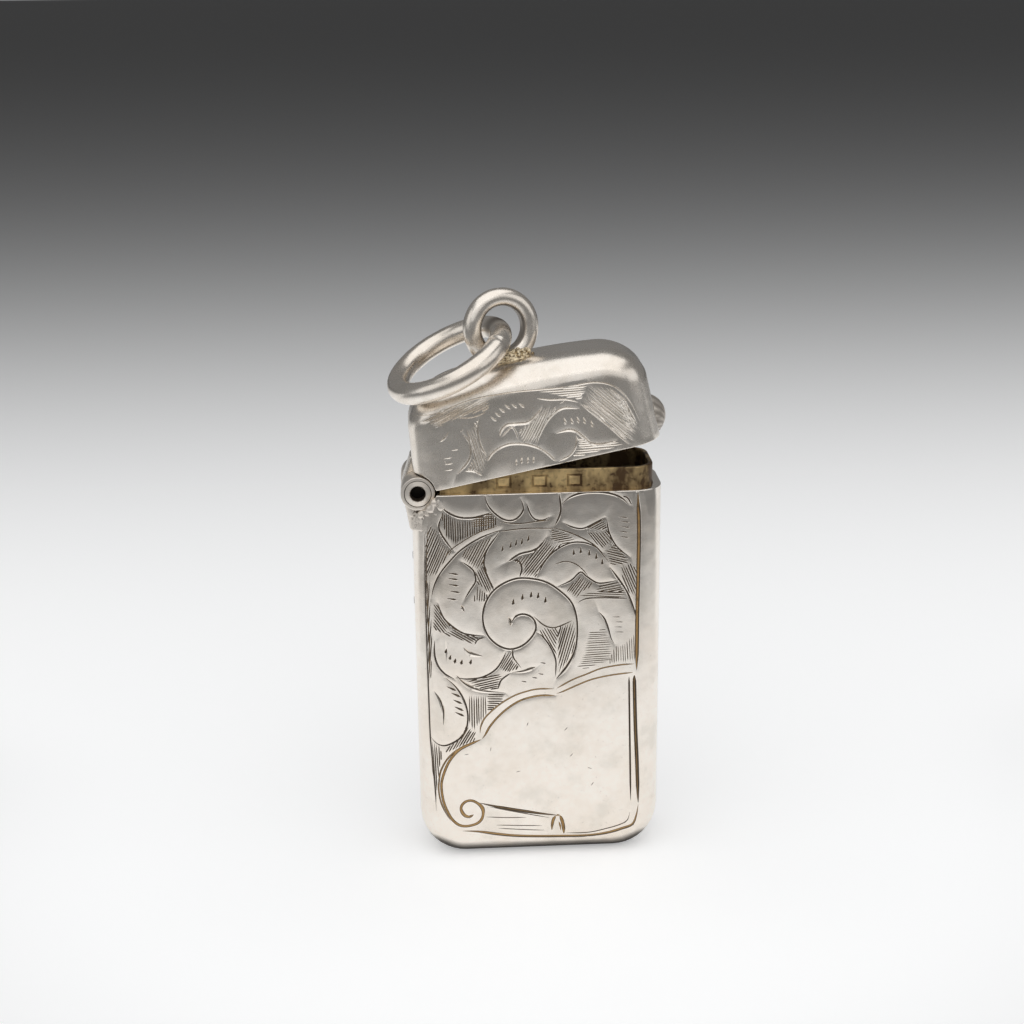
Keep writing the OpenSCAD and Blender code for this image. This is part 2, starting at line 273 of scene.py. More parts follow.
def close_finish(place, **sockets):
    """Feeds the surface shader; an underscore in a name stands for a space."""
    named = {name.replace("_", " "): value for name, value in sockets.items()}
    surface = place.make("ShaderNodeBsdfPrincipled", None, named)
    place.make("ShaderNodeOutputMaterial", None, {"Surface": surface})


def silver_finish(looks, name, rough):
    """Rubbed silver: soft clouds of tarnish, fine grain and scratches, pits, and dirt in every cut."""
    place = new_finish(name)
    cut = place.dirt()
    clouds = place.noise(0.2, 3)
    mottle = place.noise(1.6, 4, 0.6)
    pits = place.noise(5, 2).ramp(0.7, 0.77)
    rubbed = place.noise(1, 3, 0.6, (14, 14, 1.2))
    scratched = place.noise(1, 2, 0.5, (2.2, 18, 26))
    dirt = cut.ramp(0.18, 0.34)
    golden = cut.ramp(0.75, 1.2) * mottle.ramp(0.15, 0.5)
    grime = golden.mix(looks.tarnish, looks.golden_dirt)
    bare = (clouds * 0.7 + mottle * 0.3).ramp(0.3, 0.72).mix(looks.silver, looks.warm_silver)
    bloomed = (place.noise(0.3, 4, 0.6).ramp(0.48, 0.7) * 0.24).mix(bare, looks.bloom)
    worn = (pits * 0.3).mix(bloomed, looks.tarnish)
    close_finish(
        place,
        Base_Color=dirt.mix(worn, grime),
        Metallic=1 - dirt * 0.75,
        Roughness=rough + mottle * 0.1 + dirt * 0.3,
        Normal=(rubbed * 0.12 + scratched * 0.12 + mottle * 0.4 + place.noise(0.5, 1) * 3
                + place.noise(7, 2) * 0.1).bump(0.012))


def gilt_finish(looks, name, stain):
    """Old gilding: warm, cloudy, with brown stains and small dark spots; stain is added everywhere, and the
    insides' finish uses it as painted shade.
    """
    place = new_finish(name)
    clouds = place.noise(0.6, 3, 0.55, (1, 1, 0.6))
    spots = place.noise(2.2, 3).ramp(0.5, 0.8)
    cut = place.dirt()
    stained = stain + clouds.ramp(0.36, 0.66) * 0.65 + spots * 0.5 + cut * 0.6
    close_finish(
        place,
        Base_Color=stained.mix(looks.gilt, looks.stain),
        Metallic=0.75 - spots * 0.3,
        Roughness=0.36 + clouds * 0.2,
        Normal=(place.noise(6, 3) + clouds).bump(0.02))


def solder_finish(looks):
    """Granular golden solder."""
    place = new_finish("golden_solder")
    grains = place.noise(5, 3, 0.6)
    close_finish(
        place,
        Base_Color=grains.ramp(0.32, 0.54).mix(looks.stain, looks.solder),
        Metallic=1 - grains.ramp(0.5, 0.3) * 0.4,
        Roughness=0.24 + grains * 0.25,
        Normal=(grains + place.noise(14, 2)).bump(0.04))


def steel_finish(looks, name, shade):
    """Dull steel with a brown bloom."""
    place = new_finish(name)
    bloom = place.noise(1.3, 4, 0.6)
    lines = place.noise(1, 2, 0.5, (9, 9, 0.8))
    close_finish(
        place,
        Base_Color=(bloom.ramp(0.45, 0.7) * 0.4).mix(shade, looks.tarnish),
        Metallic=1 - bloom.ramp(0.5, 0.75) * 0.5,
        Roughness=0.32 + bloom * 0.3,
        Normal=(lines + bloom).bump(0.015))


# The graver's hand: BITE widens every drawn width, and a cut wider than DARK_WIDTH is bright at its sides.
# The HATCH values are the width of a shading line, the play of its ends, its lean and its least length.
BITE = 1.35
DARK_WIDTH = 0.16
HATCH_WIDTH = 0.12
HATCH_PLAY = (-0.06, 0.08)
HATCH_LEAN = 0.03
HATCH_LEAST = 0.3
SCAR_WIDTH = 0.06
SCAR_LENGTHS = (0.1, 0.12, 0.15, 0.55) * 8


def heading(angle):
    """The direction of an angle in radians."""
    return Vector((math.cos(angle), math.sin(angle)))


def smooth_line(points, step):
    """Points about a step apart on a smooth line through the given ones."""
    knots = [Vector(point) for point in points]
    knots = [2 * knots[0] - knots[1], *knots, 2 * knots[-1] - knots[-2]]
    line = []
    for before, here, there, after in zip(knots, knots[1:], knots[2:], knots[3:]):
        count = max(1, math.ceil((there - here).length / step))
        for k in range(count):
            t = k / count
            line.append(0.5 * (2 * here + (there - before) * t
                               + (2 * before - 5 * here + 4 * there - after) * t * t
                               + (3 * here - before - 3 * there + after) * t ** 3))
    return [*line, knots[-2]]


def cut(width, points, lead=0.2, tail=0.2, step=0.22, dark=None):
    """One stroke of the graver: places with half width and dirt.

    lead and tail are the shares of its length that taper. dark is the dirt in its middle, golden
    above 1. Without it, a wide cut is bright at its sides.
    """
    width *= BITE
    if dark is None:
        dark = min(1, DARK_WIDTH / width)
    line = smooth_line(points, step)
    run = [0]
    for here, there in zip(line, line[1:]):
        run.append(run[-1] + (there - here).length)
    stroke = []
    for place, gone in zip(line, run):
        share = gone / run[-1]
        swell = max(0, min(1, share / lead, (1 - share) / tail))
        stroke.append((place, width / 2 * swell ** 0.7, dark))
    return stroke


def nicks(angle, long, width, places):
    """A row of wedge cuts, each wide at its foot and pointed at its tip."""
    reach = heading(math.radians(angle)) * long
    wedges = [[place, Vector(place) + reach * 0.3, Vector(place) + reach] for place in places]
    return [cut(width, wedge, 0.12, 0.9, long / 3, 1) for wedge in wedges]


def hatch(angle, pitch, seed, corners, width=HATCH_WIDTH):
    """Parallel shading lines inside an outline, with the small unevenness of hand work."""
    chance = random.Random(seed)
    along = heading(math.radians(angle))
    across = Vector((-along.y, along.x))
    edges = [(Vector(a), Vector(b)) for a, b in zip(corners, [*corners[1:], corners[0]])]
    offsets = [across.dot(Vector(corner)) for corner in corners]
    offset = min(offsets) + pitch * 0.6
    strokes = []
    while offset < max(offsets):
        ends = []
        for a, b in edges:
            rise_a = across.dot(a) - offset
            rise_b = across.dot(b) - offset
            if rise_a * rise_b < 0:
                ends.append(along.dot(a.lerp(b, rise_a / (rise_a - rise_b))))
        ends.sort()
        for start, stop in zip(ends[::2], ends[1::2]):
            start += chance.uniform(*HATCH_PLAY)
            stop -= chance.uniform(*HATCH_PLAY)
            if stop - start > HATCH_LEAST:
                lean = across * chance.uniform(-HATCH_LEAN, HATCH_LEAN)
                base = across * offset
                line = [base + along * start - lean, base + along * stop + lean]
                bite = width * chance.uniform(0.75, 1.15)
                strokes.append(cut(bite, line, 0.12, 0.2, (stop - start) / 5.01))
        offset += pitch * chance.uniform(0.85, 1.15)
    return strokes


def engraving(outlines, rows, shading, pitch, seed):
    """All the cuts of a drawing: outlines, rows of nicks and zones of shading lines."""
    cuts = list(outlines)
    for row in rows:
        cuts += row
    for k, (angle, *zone) in enumerate(shading):
        cuts += hatch(angle, pitch, seed + k, *zone)
    return cuts


def scroll_cuts(pitch):
    """The leafy scroll on the upper part of the front."""
    outlines = [
        cut(0.2, [(-2.6, 24.2), (-2.2, 24.75), (-1.55, 24.96), (-0.8, 24.7), (-0.36, 24.05),
                  (-0.42, 23.2), (-1.04, 22.3), (-1.9, 21.7), (-2.9, 21.55), (-3.9, 21.98), (-4.75, 22.9),
                  (-5.2, 24.2), (-5.15, 25.6), (-4.5, 27), (-3.5, 27.9), (-2.1, 28.45), (-0.7, 28.4),
                  (0.7, 28), (1.9, 27.15), (2.9, 26.1), (3.4, 24.8), (3.52, 23), (3.3, 21.3),
                  (2.6, 19.75), (1.5, 18.36)], 0.02, 0.05),
        cut(0.3, [(3.5, 22.4), (3.2, 20.9), (2.4, 19.4), (1.5, 18.4)], 0.5, 0.25),
        cut(0.12, [(-0.6, 24.8), (0.33, 23.9), (1.24, 23.55), (2.15, 23.8), (3.1, 24.25)]),
        cut(0.15, [(-0.36, 23.2), (0.33, 22.64), (1.05, 21.55), (1.5, 20.3), (1.45, 18.64)]),
        cut(0.34, [(-2.9, 24.75), (-2.65, 24.3), (-2.7, 23.8)], 0.4, 0.4),
        cut(0.16, [(-4.1, 27.45), (-4.75, 28.8), (-5.04, 30.1), (-4.7, 31.4), (-3.5, 33.1)]),
        cut(0.2, [(0.75, 32.5), (0.15, 31.55), (-0.6, 31.1), (-1.8, 30.8), (-2.85, 30.1)], 0.3, 0.1),
        cut(0.18, [(-2.5, 30.25), (-1.85, 30.15), (-1.58, 29.5), (-1.8, 28.55)]),
        cut(0.15, [(-0.22, 28.45), (0.15, 29.36), (0.69, 30.27), (1.42, 31), (2.33, 31.55), (3.2, 31.8),
                   (4.2, 31.73), (5.1, 31.36), (5.9, 30.7)]),
        cut(0.15, [(1.5, 27.5), (2.9, 28.1), (3.8, 28.9), (4.4, 28.45), (5.4, 27.8), (6.5, 27.85),
                   (7.5, 28.1)]),
        cut(0.1, [(1.3, 29.7), (2.4, 30), (3.4, 29.7), (4.15, 29), (4.55, 28.4)]),
        cut(0.24, [(6.45, 29.4), (7.42, 28), (8.15, 26.8), (8.7, 25.4), (9.05, 24.2)]),
        cut(0.12, [(1.24, 33.3), (2.9, 32.73), (4.15, 32.1), (5.2, 31.36), (6.5, 29.73)]),
        cut(0.2, [(2.05, 35.5), (3.05, 36.2), (4.3, 36.5), (6, 36.45), (7.4, 36), (8.4, 35.1)]),
        cut(0.15, [(2.2, 33.75), (3.05, 33.27), (4, 33.1), (5.05, 33.55), (6.1, 34.15)]),
        cut(0.15, [(6.2, 34), (6.4, 32.8), (6.87, 31.7), (7.5, 30.9), (8.4, 30.2)]),
        cut(0.13, [(3.5, 25.9), (4.3, 26.3), (5.8, 26.35), (8.2, 26.2)]),
        cut(0.18, [(5.5, 25), (6.05, 24.27), (6.4, 23.36), (6.7, 22.27), (7, 21.7)], 0.2, 0.5),
        cut(0.16, [(-3.4, 33.25), (-5.5, 32.4), (-7.13, 31.36), (-8.2, 30.27), (-9.13, 29.1),
                   (-9.75, 27.8), (-10, 26.6)]),
        cut(0.1, [(-3.5, 33.65), (-5.5, 33), (-7.7, 31.7), (-8.7, 30.6)]),
        cut(0.16, [(-7.13, 30.3), (-6.4, 29.75), (-5.95, 29.2), (-5.85, 28.3), (-6.3, 27.55),
                   (-6.95, 26.5)]),
        cut(0.3, [(-7.25, 26.1), (-7.1, 25.8), (-6.95, 25.35)], 0.5, 0.5),
        cut(0.16, [(-9.4, 26.4), (-8.95, 25), (-8.2, 24.1), (-7.13, 23.3), (-6.04, 23.04), (-5.1, 23)]),
        cut(0.16, [(-9.75, 22.7), (-9.85, 21.5), (-9.6, 20.3), (-8.95, 19.36), (-7.9, 18.7)]),
        cut(0.32, [(-7.8, 19.15), (-7.13, 18.3), (-6.2, 17.7), (-4.95, 17.36), (-3.2, 17.2)], 0.3, 0.6),
        cut(0.17, [(-7.85, 18.95), (-6.95, 18.7), (-5.67, 18.76), (-4.76, 19.1), (-4.04, 19.64),
                   (-3.5, 20.45), (-3.1, 21.4)]),
        cut(0.34, [(-7.1, 21.9), (-6.5, 21.25), (-5.2, 20.9)], 0.4, 0.5),
        cut(0.14, [(-6.05, 22.1), (-5.75, 22.6), (-5.1, 22.8)]),
        cut(0.24, [(-2.5, 21.5), (-2.45, 20.7), (-1.7, 19.6)], 0.1, 0.8),
        cut(0.3, [(-2.7, 19.2), (-1.5, 19.3), (-0.3, 19.7)], 0.7, 0.2),
        cut(0.14, [(-3.95, 17.6), (-3.6, 18.5), (-2.7, 19.2)]),
        cut(0.28, [(-9.95, 17.5), (-9.4, 16.6), (-9.1, 15.5), (-9.13, 14.1)], 0.4, 0.4),
        cut(0.2, [(-8.9, 19), (-7.85, 17.9), (-7.1, 16.5), (-6.8, 15), (-7, 13.6), (-7.7, 12.6),
                  (-8.9, 12), (-9.8, 12.15), (-10.5, 12.8)]),
        cut(0.2, [(-9, 35.85), (-8.4, 35.1), (-7.3, 34.5), (-6, 34.4), (-4.95, 34.64), (-4.15, 34.95)]),
        cut(0.17, [(-4.9, 36.65), (-4.65, 35.7), (-4.2, 35), (-3.5, 34.36), (-2.76, 34.05), (-2.04, 34.2),
                   (-1.5, 34.8), (-1.4, 35.4), (-1.7, 36.2)]),
        cut(0.15, [(-1.1, 35.7), (-0.76, 34.64), (-0.3, 34.1), (0.4, 34), (1.05, 34.35)]),
        cut(0.18, [(1.85, 36.6), (2.02, 35.2), (1.87, 34.3), (1.45, 33.4)]),
        cut(0.1, [(-3.7, 34), (-2, 33.75), (-0.2, 33.9), (1.2, 34)]),
        cut(0.1, [(-4.2, 33), (-1.3, 33.27), (1.6, 33.2)]),
        cut(0.2, [(-8.7, 34.9), (-9.1, 33.6), (-8.5, 32.3), (-7.7, 31.2)], 0.3, 0.3),
        cut(0.14, [(7.6, 36.1), (8.1, 35.9), (8.5, 35.2)]),
    ]
    borders = [
        cut(0.28, [(-10.55, 33), (-10.72, 28), (-10.72, 22), (-10.66, 16), (-10.6, 12.6), (-10.3, 9),
                   (-10.05, 5)], 0.1, 0.2),
        cut(0.12, [(-10.1, 34), (-10.4, 30.5), (-10.45, 26), (-10.35, 22), (-10.5, 18)]),
        cut(0.34, [(9.05, 36.5), (9.2, 33), (9.18, 29), (9.12, 25), (9.12, 22),
                   (9.1, 19)], 0.1, 0.1, dark=1.6),
    ]
    rows = [
        nicks(82, 0.75, 0.3, [(-2.45, 25.85), (-1.6, 26.3), (-0.8, 26.5), (-0.15, 26.4), (0.52, 25.95)]),
        nicks(80, 0.8, 0.22, [(-3.4, 31.05), (-2.65, 31.35), (-2.15, 31.55), (-1.62, 31.65),
                              (-1.02, 31.95)]),
        nicks(88, 0.75, 0.26, [(3.18, 30.5), (3.82, 30.65), (4.6, 30.4), (5.25, 30.05), (5.8, 29.5)]),
        nicks(168, 1.15, 0.2, [(-7.3, 29), (-7.35, 28.5), (-7.3, 27.9), (-7.2, 27.25), (-7.5, 26.55)]),
        nicks(75, 0.6, 0.3, [(-8.78, 21.3), (-8.4, 20.65), (-7.95, 20.3), (-7.35, 20.15), (-6.5, 20.15)]),
        nicks(152, 1.1, 0.24, [(-7.8, 17.55), (-7.4, 16.9), (-7.25, 16.2), (-7.15, 15.5), (-7.1, 14.95)]),
        nicks(170, 1, 0.13, [(8.2, 34), (8.35, 33.55), (8.4, 33.05), (8.25, 32.6), (8.3, 32.1)]),
        nicks(176, 0.9, 0.1, [(7.6, 24.4), (7.85, 23.9), (7.8, 23.4), (7.9, 22.9)]),
        nicks(165, 0.6, 0.14, [(-1.2, 18.2), (-0.2, 18.55), (0.4, 18.9), (0.6, 20)]),
    ]
    shading = [
        (90, [(-9, 35.3), (-8.4, 35), (-7.3, 34.4), (-6, 34.3), (-4.2, 34.8), (-3.6, 34.1), (-4.2, 33.2),
              (-6, 32.7), (-7.6, 31.8), (-8.4, 32.5)]),
        (3, [(-6.4, 34.3), (-4.3, 34.8), (-3.7, 34.1), (-4.2, 33.7), (-6, 33.5)]),
        (66, [(-10, 33.9), (-9.2, 33.6), (-8.6, 32.4), (-7.9, 31.3), (-8.8, 30.1), (-9.6, 28.8),
              (-10.6, 28.6), (-10.6, 31.6)]),
        (62, [(-7.1, 31.2), (-5.4, 32.4), (-3.9, 33), (-4.7, 31.5), (-5.1, 30), (-5.9, 29.4), (-7, 30.4)]),
        (112, [(-5.1, 30.4), (-4.6, 28.6), (-4.1, 27.4), (-4.5, 27), (-5.6, 28), (-5.9, 29.3)]),
        (86, [(-5.7, 27.9), (-4.7, 27), (-5.1, 26.2), (-6.1, 26.4)]),
        (52, [(-1.6, 28.6), (-1.5, 29.6), (-2.6, 30.2), (-0.6, 31), (0.7, 32.3), (2.2, 31.7), (1.2, 30.9),
              (0.1, 29.4), (-0.3, 28.5)]),
        (8, [(0.85, 32.2), (1.2, 33.1), (2.8, 32.7), (3.4, 32), (2.2, 31.6)]),
        (28, [(4.2, 33), (6.1, 34.05), (6.35, 32.9), (5.2, 32.9)]),
        (128, [(4.2, 32.9), (6.3, 32.9), (6.8, 31.7), (6, 31), (5.1, 31.7)]),
        (165, [(5.9, 30.9), (6.9, 31.5), (7.6, 30.8), (8.3, 30.1), (8.4, 29.6), (6.6, 29.5)]),
        (112, [(7.5, 29.6), (8.4, 29.8), (9, 29), (9, 26.4), (8.4, 26.6), (7.6, 28.2)]),
        (55, [(2.5, 27.1), (3.8, 28.7), (5.2, 27.7), (4, 27), (3.4, 26.4)]),
        (10, [(5, 27.1), (5.6, 27.7), (7.5, 27.9), (8, 26.9), (5.5, 26.9)]),
        (176, [(3.2, 26.5), (4.2, 27), (8, 26.9), (8.1, 26.3), (4.3, 26.4)]),
        (2, [(4.4, 23), (6.25, 23.3), (6.7, 22), (7, 20.2), (4.2, 19.3), (3.4, 19.6), (4, 21)], 0.08),
        (92, [(7, 21.7), (7.9, 21.8), (8.8, 22.8), (9, 19.9), (6.4, 19.8)], 0.08),
        (74, [(1.7, 23.7), (3.2, 24.2), (3.45, 23), (3.25, 21.4), (2.5, 19.9), (1.7, 18.8), (1.65, 20.2)]),
        (118, [(0.3, 23.8), (1.2, 23.5), (1.75, 23.6), (1.6, 20.6), (1, 21.8), (0.3, 22.75), (-0.2, 23.2)]),
        (125, [(-9.8, 26.4), (-9.2, 25.9), (-8.9, 24.8), (-8.1, 24), (-8.8, 23.2), (-9.9, 23.8)]),
        (148, [(-8.9, 23.3), (-8.1, 24), (-7, 23.2), (-5.4, 22.9), (-6.1, 22.1), (-7.2, 22.6)]),
        (60, [(-3.1, 21.2), (-2.6, 21.4), (-2.5, 20.6), (-1.8, 19.6), (-3.1, 19.2), (-4, 19.6),
              (-3.4, 20.4)]),
        (12, [(-6.7, 18.6), (-5.6, 18.65), (-4.6, 19.1), (-3.2, 19.1), (-3.9, 17.6), (-5.5, 17.5),
              (-6.4, 17.9)]),
        (90, [(-6.8, 17.1), (-5.1, 17.1), (-5, 15), (-5.6, 14.2), (-6.3, 13.2), (-6.7, 14.2),
              (-6.7, 15.5)]),
        (177, [(-5.1, 17.1), (-3.1, 17.1), (-3.4, 16.4), (-5, 15.1)]),
        (60, [(-6.9, 14), (-6, 13.3), (-6.2, 12.4), (-8, 11.6), (-9.2, 11.2), (-8.6, 12), (-7.6, 12.6)]),
        (92, [(-10.5, 12.6), (-9.6, 12.1), (-9.3, 11), (-9.6, 9.4), (-9.85, 7.6), (-10.1, 5.6),
              (-10.4, 9)]),
        (84, [(-10.6, 28.4), (-9.9, 28.4), (-10.1, 26.6), (-10, 23), (-10.2, 18.6), (-10.6, 18.6)]),
    ]
    return engraving(outlines + borders, rows, shading, pitch, 0)


def cartouche_cuts():
    """The bare shield below the scroll: its double edge, its curl and its rolled foot."""
    return [
        cut(0.13, [(8.9, 19.7), (7.6, 19.64), (5.8, 19.36), (4.33, 18.8), (3.05, 18.3),
                   (1.5, 17.45)], 0.1, 0.1, dark=1.6),
        cut(0.13, [(8.8, 18.85), (6.7, 18.64), (4.87, 18.27), (3.4, 17.7), (2.15, 17.15),
                   (1.5, 16.95)], 0.1, 0.1, dark=1.8),
        cut(0.13, [(1.4, 17.45), (-0.2, 17.48), (-1.3, 17.27), (-2.4, 16.9), (-3.5, 16.27), (-4.4, 15.55),
                   (-5.2, 14.73), (-5.6, 13.9), (-5.7, 13.1)], 0.1, 0.1, dark=1.8),
        cut(0.17, [(1.5, 16.75), (0.15, 16.8), (-0.95, 16.64), (-2.04, 16.27), (-3.13, 15.55),
                   (-4.04, 14.7), (-4.76, 13.8), (-5.2, 13), (-5.55, 12.55)], 0.1, 0.1, dark=1.9),
        cut(0.22, [(-5.55, 12.55), (-6.6, 12.1), (-7.5, 11.64), (-8.2, 11), (-8.8, 10.1), (-9.2, 9.1),
                   (-9.45, 8.1), (-9.45, 7.2), (-9.3, 6.2), (-9, 5.3), (-8.5, 4.3), (-7.85, 3.68),
                   (-7.1, 3.52), (-6.2, 3.73), (-5.72, 4.15), (-5.53, 4.75), (-5.64, 5.36), (-6.04, 5.9),
                   (-6.6, 6.2), (-7.2, 6.1), (-7.6, 5.64), (-7.6, 5.1), (-7.3, 4.64), (-6.85, 4.5),
                   (-6.4, 4.75)], 0.05, 0.02, dark=2),
        cut(0.15, [(-6.04, 12.38), (-7.3, 11.85), (-8.2, 11.27), (-8.95, 10.45), (-9.5, 9.36),
                   (-9.7, 8.27), (-9.76, 7.36), (-9.6, 6.27), (-9.2, 5.2),
                   (-8.6, 4.05)], 0.1, 0.2, dark=1.4),
        cut(0.26, [(-5.5, 4.4), (-5.5, 5.2), (-5.9, 5.8), (-6.6, 6.2)], 0.4, 0.4, dark=2.2),
        cut(0.26, [(-7.4, 5.9), (-7.65, 5.4), (-7.3, 4.7), (-6.6, 4.5)], 0.4, 0.4, dark=2.2),
        cut(0.28, [(-5.9, 5.95), (-4.2, 5.45), (-2.4, 5.04), (-0.2, 4.6), (1.9, 4.28)], 0.3, 0.4, dark=1.1),
        cut(0.08, [(-5, 5.5), (-2, 4.75), (0.9, 4.1)]),
        cut(0.08, [(-5.3, 4.45), (-3.4, 4.3), (-1.3, 4.24)]),
        cut(0.08, [(-4.4, 3.55), (-2, 3.4), (0.2, 3.3)]),
        cut(0.08, [(-4.2, 3.2), (-1.6, 2.95), (0.4, 2.8)]),
        cut(0.28, [(1.8, 4.36), (2, 3.9), (2.16, 3.2), (2.22, 2.3)], 0.2, 0.3, dark=2.2),
        cut(0.24, [(1.45, 4.3), (1.2, 3.9), (1.08, 3.3), (1.04, 2.75)], 0.2, 0.4, dark=2.2),
        cut(0.16, [(1.42, 4.28), (1.62, 4.36), (1.84, 4.3)], 0.2, 0.4, dark=2.2),
        cut(0.14, [(1.72, 3.7), (1.86, 3.2), (1.92, 2.7)], 0.3, 0.5, dark=2.2),
        cut(0.26, [(-7.6, 3.05), (-6, 2.9), (-4.2, 2.55), (-2.4, 2.27), (-0.2, 2.1), (2.33, 2),
                   (4.5, 1.97), (6.3, 2.2), (7.8, 2.64), (8.87, 3.05), (9.25, 4.1),
                   (9.42, 5.2)], 0.15, 0.15, dark=1.6),
        cut(0.1, [(2.24, 2.42), (4.5, 2.38), (6.3, 2.73), (7.6, 3.1), (8.33, 3.55), (8.6, 4.5)]),
        cut(0.18, [(8.38, 18.5), (8.48, 13.5), (8.58, 9), (8.65, 5.5)], 0.05, 0.15, dark=0.9),
        cut(0.36, [(8.88, 18.6), (9.05, 13.5), (9.24, 9.9), (9.42, 5.2)], 0.05, 0.15, dark=1.1),
    ]


def scars(seed, low, high):
    """Specks and short scratches from use, strewn between two corners of the drawing."""
    chance = random.Random(seed)
    strokes = []
    for long in SCAR_LENGTHS:
        start = Vector((chance.uniform(low[0], high[0]), chance.uniform(low[1], high[1])))
        way = heading(chance.uniform(0, math.pi)) * long
        strokes.append(cut(SCAR_WIDTH, [start, start + way], 0.4, 0.4, dark=0.9))
    return strokes


def lid_cuts(pitch):
    """The end of the scroll on the lid, drawn upward from its mouth."""
    outlines = [
        cut(0.16, [(-4.1, 1.7), (-3.67, 2.2), (-2.95, 2.6), (-2.04, 2.8), (-1.13, 2.7), (-0.22, 2.4),
                   (0.7, 1.84), (1.4, 1.1), (1.9, 0.3)], 0.05, 0.05),
        cut(0.2, [(-2.5, 3.7), (-2.3, 4.2), (-1.67, 4.6), (-0.76, 4.5), (0.15, 4.4), (0.87, 4.75),
                  (1.8, 5.5)], 0.1, 0.2),
        cut(0.12, [(-2.4, 3.6), (-1.85, 4), (-1.3, 4.3), (-1.04, 3.8), (-0.95, 2.9)]),
        cut(0.16, [(-4, 2.1), (-4.3, 2.9), (-4.4, 3.84), (-4.3, 4.9), (-4, 5.7)]),
        cut(0.16, [(0.5, 2.1), (0.87, 2.9), (1.6, 3.84), (2.5, 4.6), (3.6, 4.98), (4.95, 4.6)]),
        cut(0.2, [(2.4, 2.85), (3.6, 2.9), (4.3, 2.56), (4.87, 1.84), (5.4, 1.2), (6.5, 0.9), (7.7, 1)]),
        cut(0.13, [(4.2, 2.3), (3.96, 1.3), (3.24, 0.56), (2.1, 0.25)]),
        cut(0.14, [(5.05, 5.1), (5.96, 4), (7.24, 2.4), (8.15, 1.1), (8.7, 0.3)]),
        cut(0.16, [(-5.75, 4.7), (-5.3, 3.84), (-5.35, 2.9), (-5.85, 2), (-7.1, 1.1)]),
        cut(0.14, [(-6.3, 1.3), (-5.5, 1.1), (-4.8, 0.5)]),
        cut(0.12, [(-9.9, 7.5), (-7.85, 7.25), (-6.04, 7.47), (-4.2, 7.65), (-2.04, 7.56), (-0.2, 7.4),
                   (2, 7.1), (4.15, 6.84), (6.7, 6.75), (8.3, 6), (9.4, 4.4), (10.1, 2.1)]),
        cut(0.1, [(-6, 6.3), (-4.5, 6), (-3.2, 6.2)]),
        cut(0.16, [(-8, 4.4), (-7.5, 4.7), (-7, 5.2)], 0.3, 0.6),
        cut(0.12, [(1.4, 6.4), (2.6, 6), (4, 5.7), (5, 5.2)]),
    ]
    rows = [
        nicks(75, 0.65, 0.2, [(-1.65, 0.75), (-1.15, 0.8), (-0.6, 0.7), (-0.1, 0.6)]),
        nicks(130, 0.7, 0.2, [(-2.5, 5.15), (-2.05, 5.45), (-1.6, 5.75), (-1.05, 5.95), (-0.45, 5.9),
                              (0.2, 5.8)]),
        nicks(96, 0.7, 0.22, [(3.5, 3.45), (4.1, 3.3), (4.65, 3.3), (5.2, 3.1), (5.8, 2.65)]),
        nicks(178, 0.8, 0.12, [(-6.4, 3.4), (-7.2, 2.8), (-7.2, 2.25), (-7.3, 1.7)]),
    ]
    shading = [
        (94, [(-5.5, 4.9), (-4.1, 5.6), (-4.5, 3.8), (-4.1, 2), (-4.7, 0.6), (-6.1, 1.3), (-5.2, 2.4),
              (-5.2, 3.9)]),
        (16, [(-9.2, 6.8), (-8.2, 5.9), (-6, 6.2), (-3, 6.4), (-2.4, 7.4), (-5, 7.55), (-8, 7.2)]),
        (52, [(-0.8, 3.8), (0.15, 4.3), (0.9, 4.7), (1.8, 5.4), (3.1, 5.3), (2.4, 4.6), (1.5, 3.8),
              (0.8, 2.9), (0.4, 2.4), (-0.7, 2.7)]),
        (172, [(4.3, 2.2), (4.9, 1.7), (5.5, 1.1), (7.6, 0.9), (8.4, 0.4), (3.4, 0.35), (4.1, 1.3)]),
        (128, [(5.3, 5), (6.2, 6.6), (8.1, 5.9), (9.3, 4.2), (9.9, 2), (9, 0.5), (8.3, 1.1), (7.3, 2.5),
               (6.1, 4)]),
        (172, [(1.5, 7), (4, 6.8), (6.2, 6.6), (5.3, 5.4), (3.6, 6.1)]),
        (108, [(8.3, 5.6), (9.2, 4.2), (9.8, 2.1), (9.2, 1.4), (8.6, 3.2)]),
    ]
    return engraving(outlines, rows, shading, pitch, 100)


def turned_back(cuts):
    """The same drawing as seen on the back."""
    return [[(Vector((-place.x, place.y)), half, dark) for place, half, dark in stroke] for stroke in cuts]


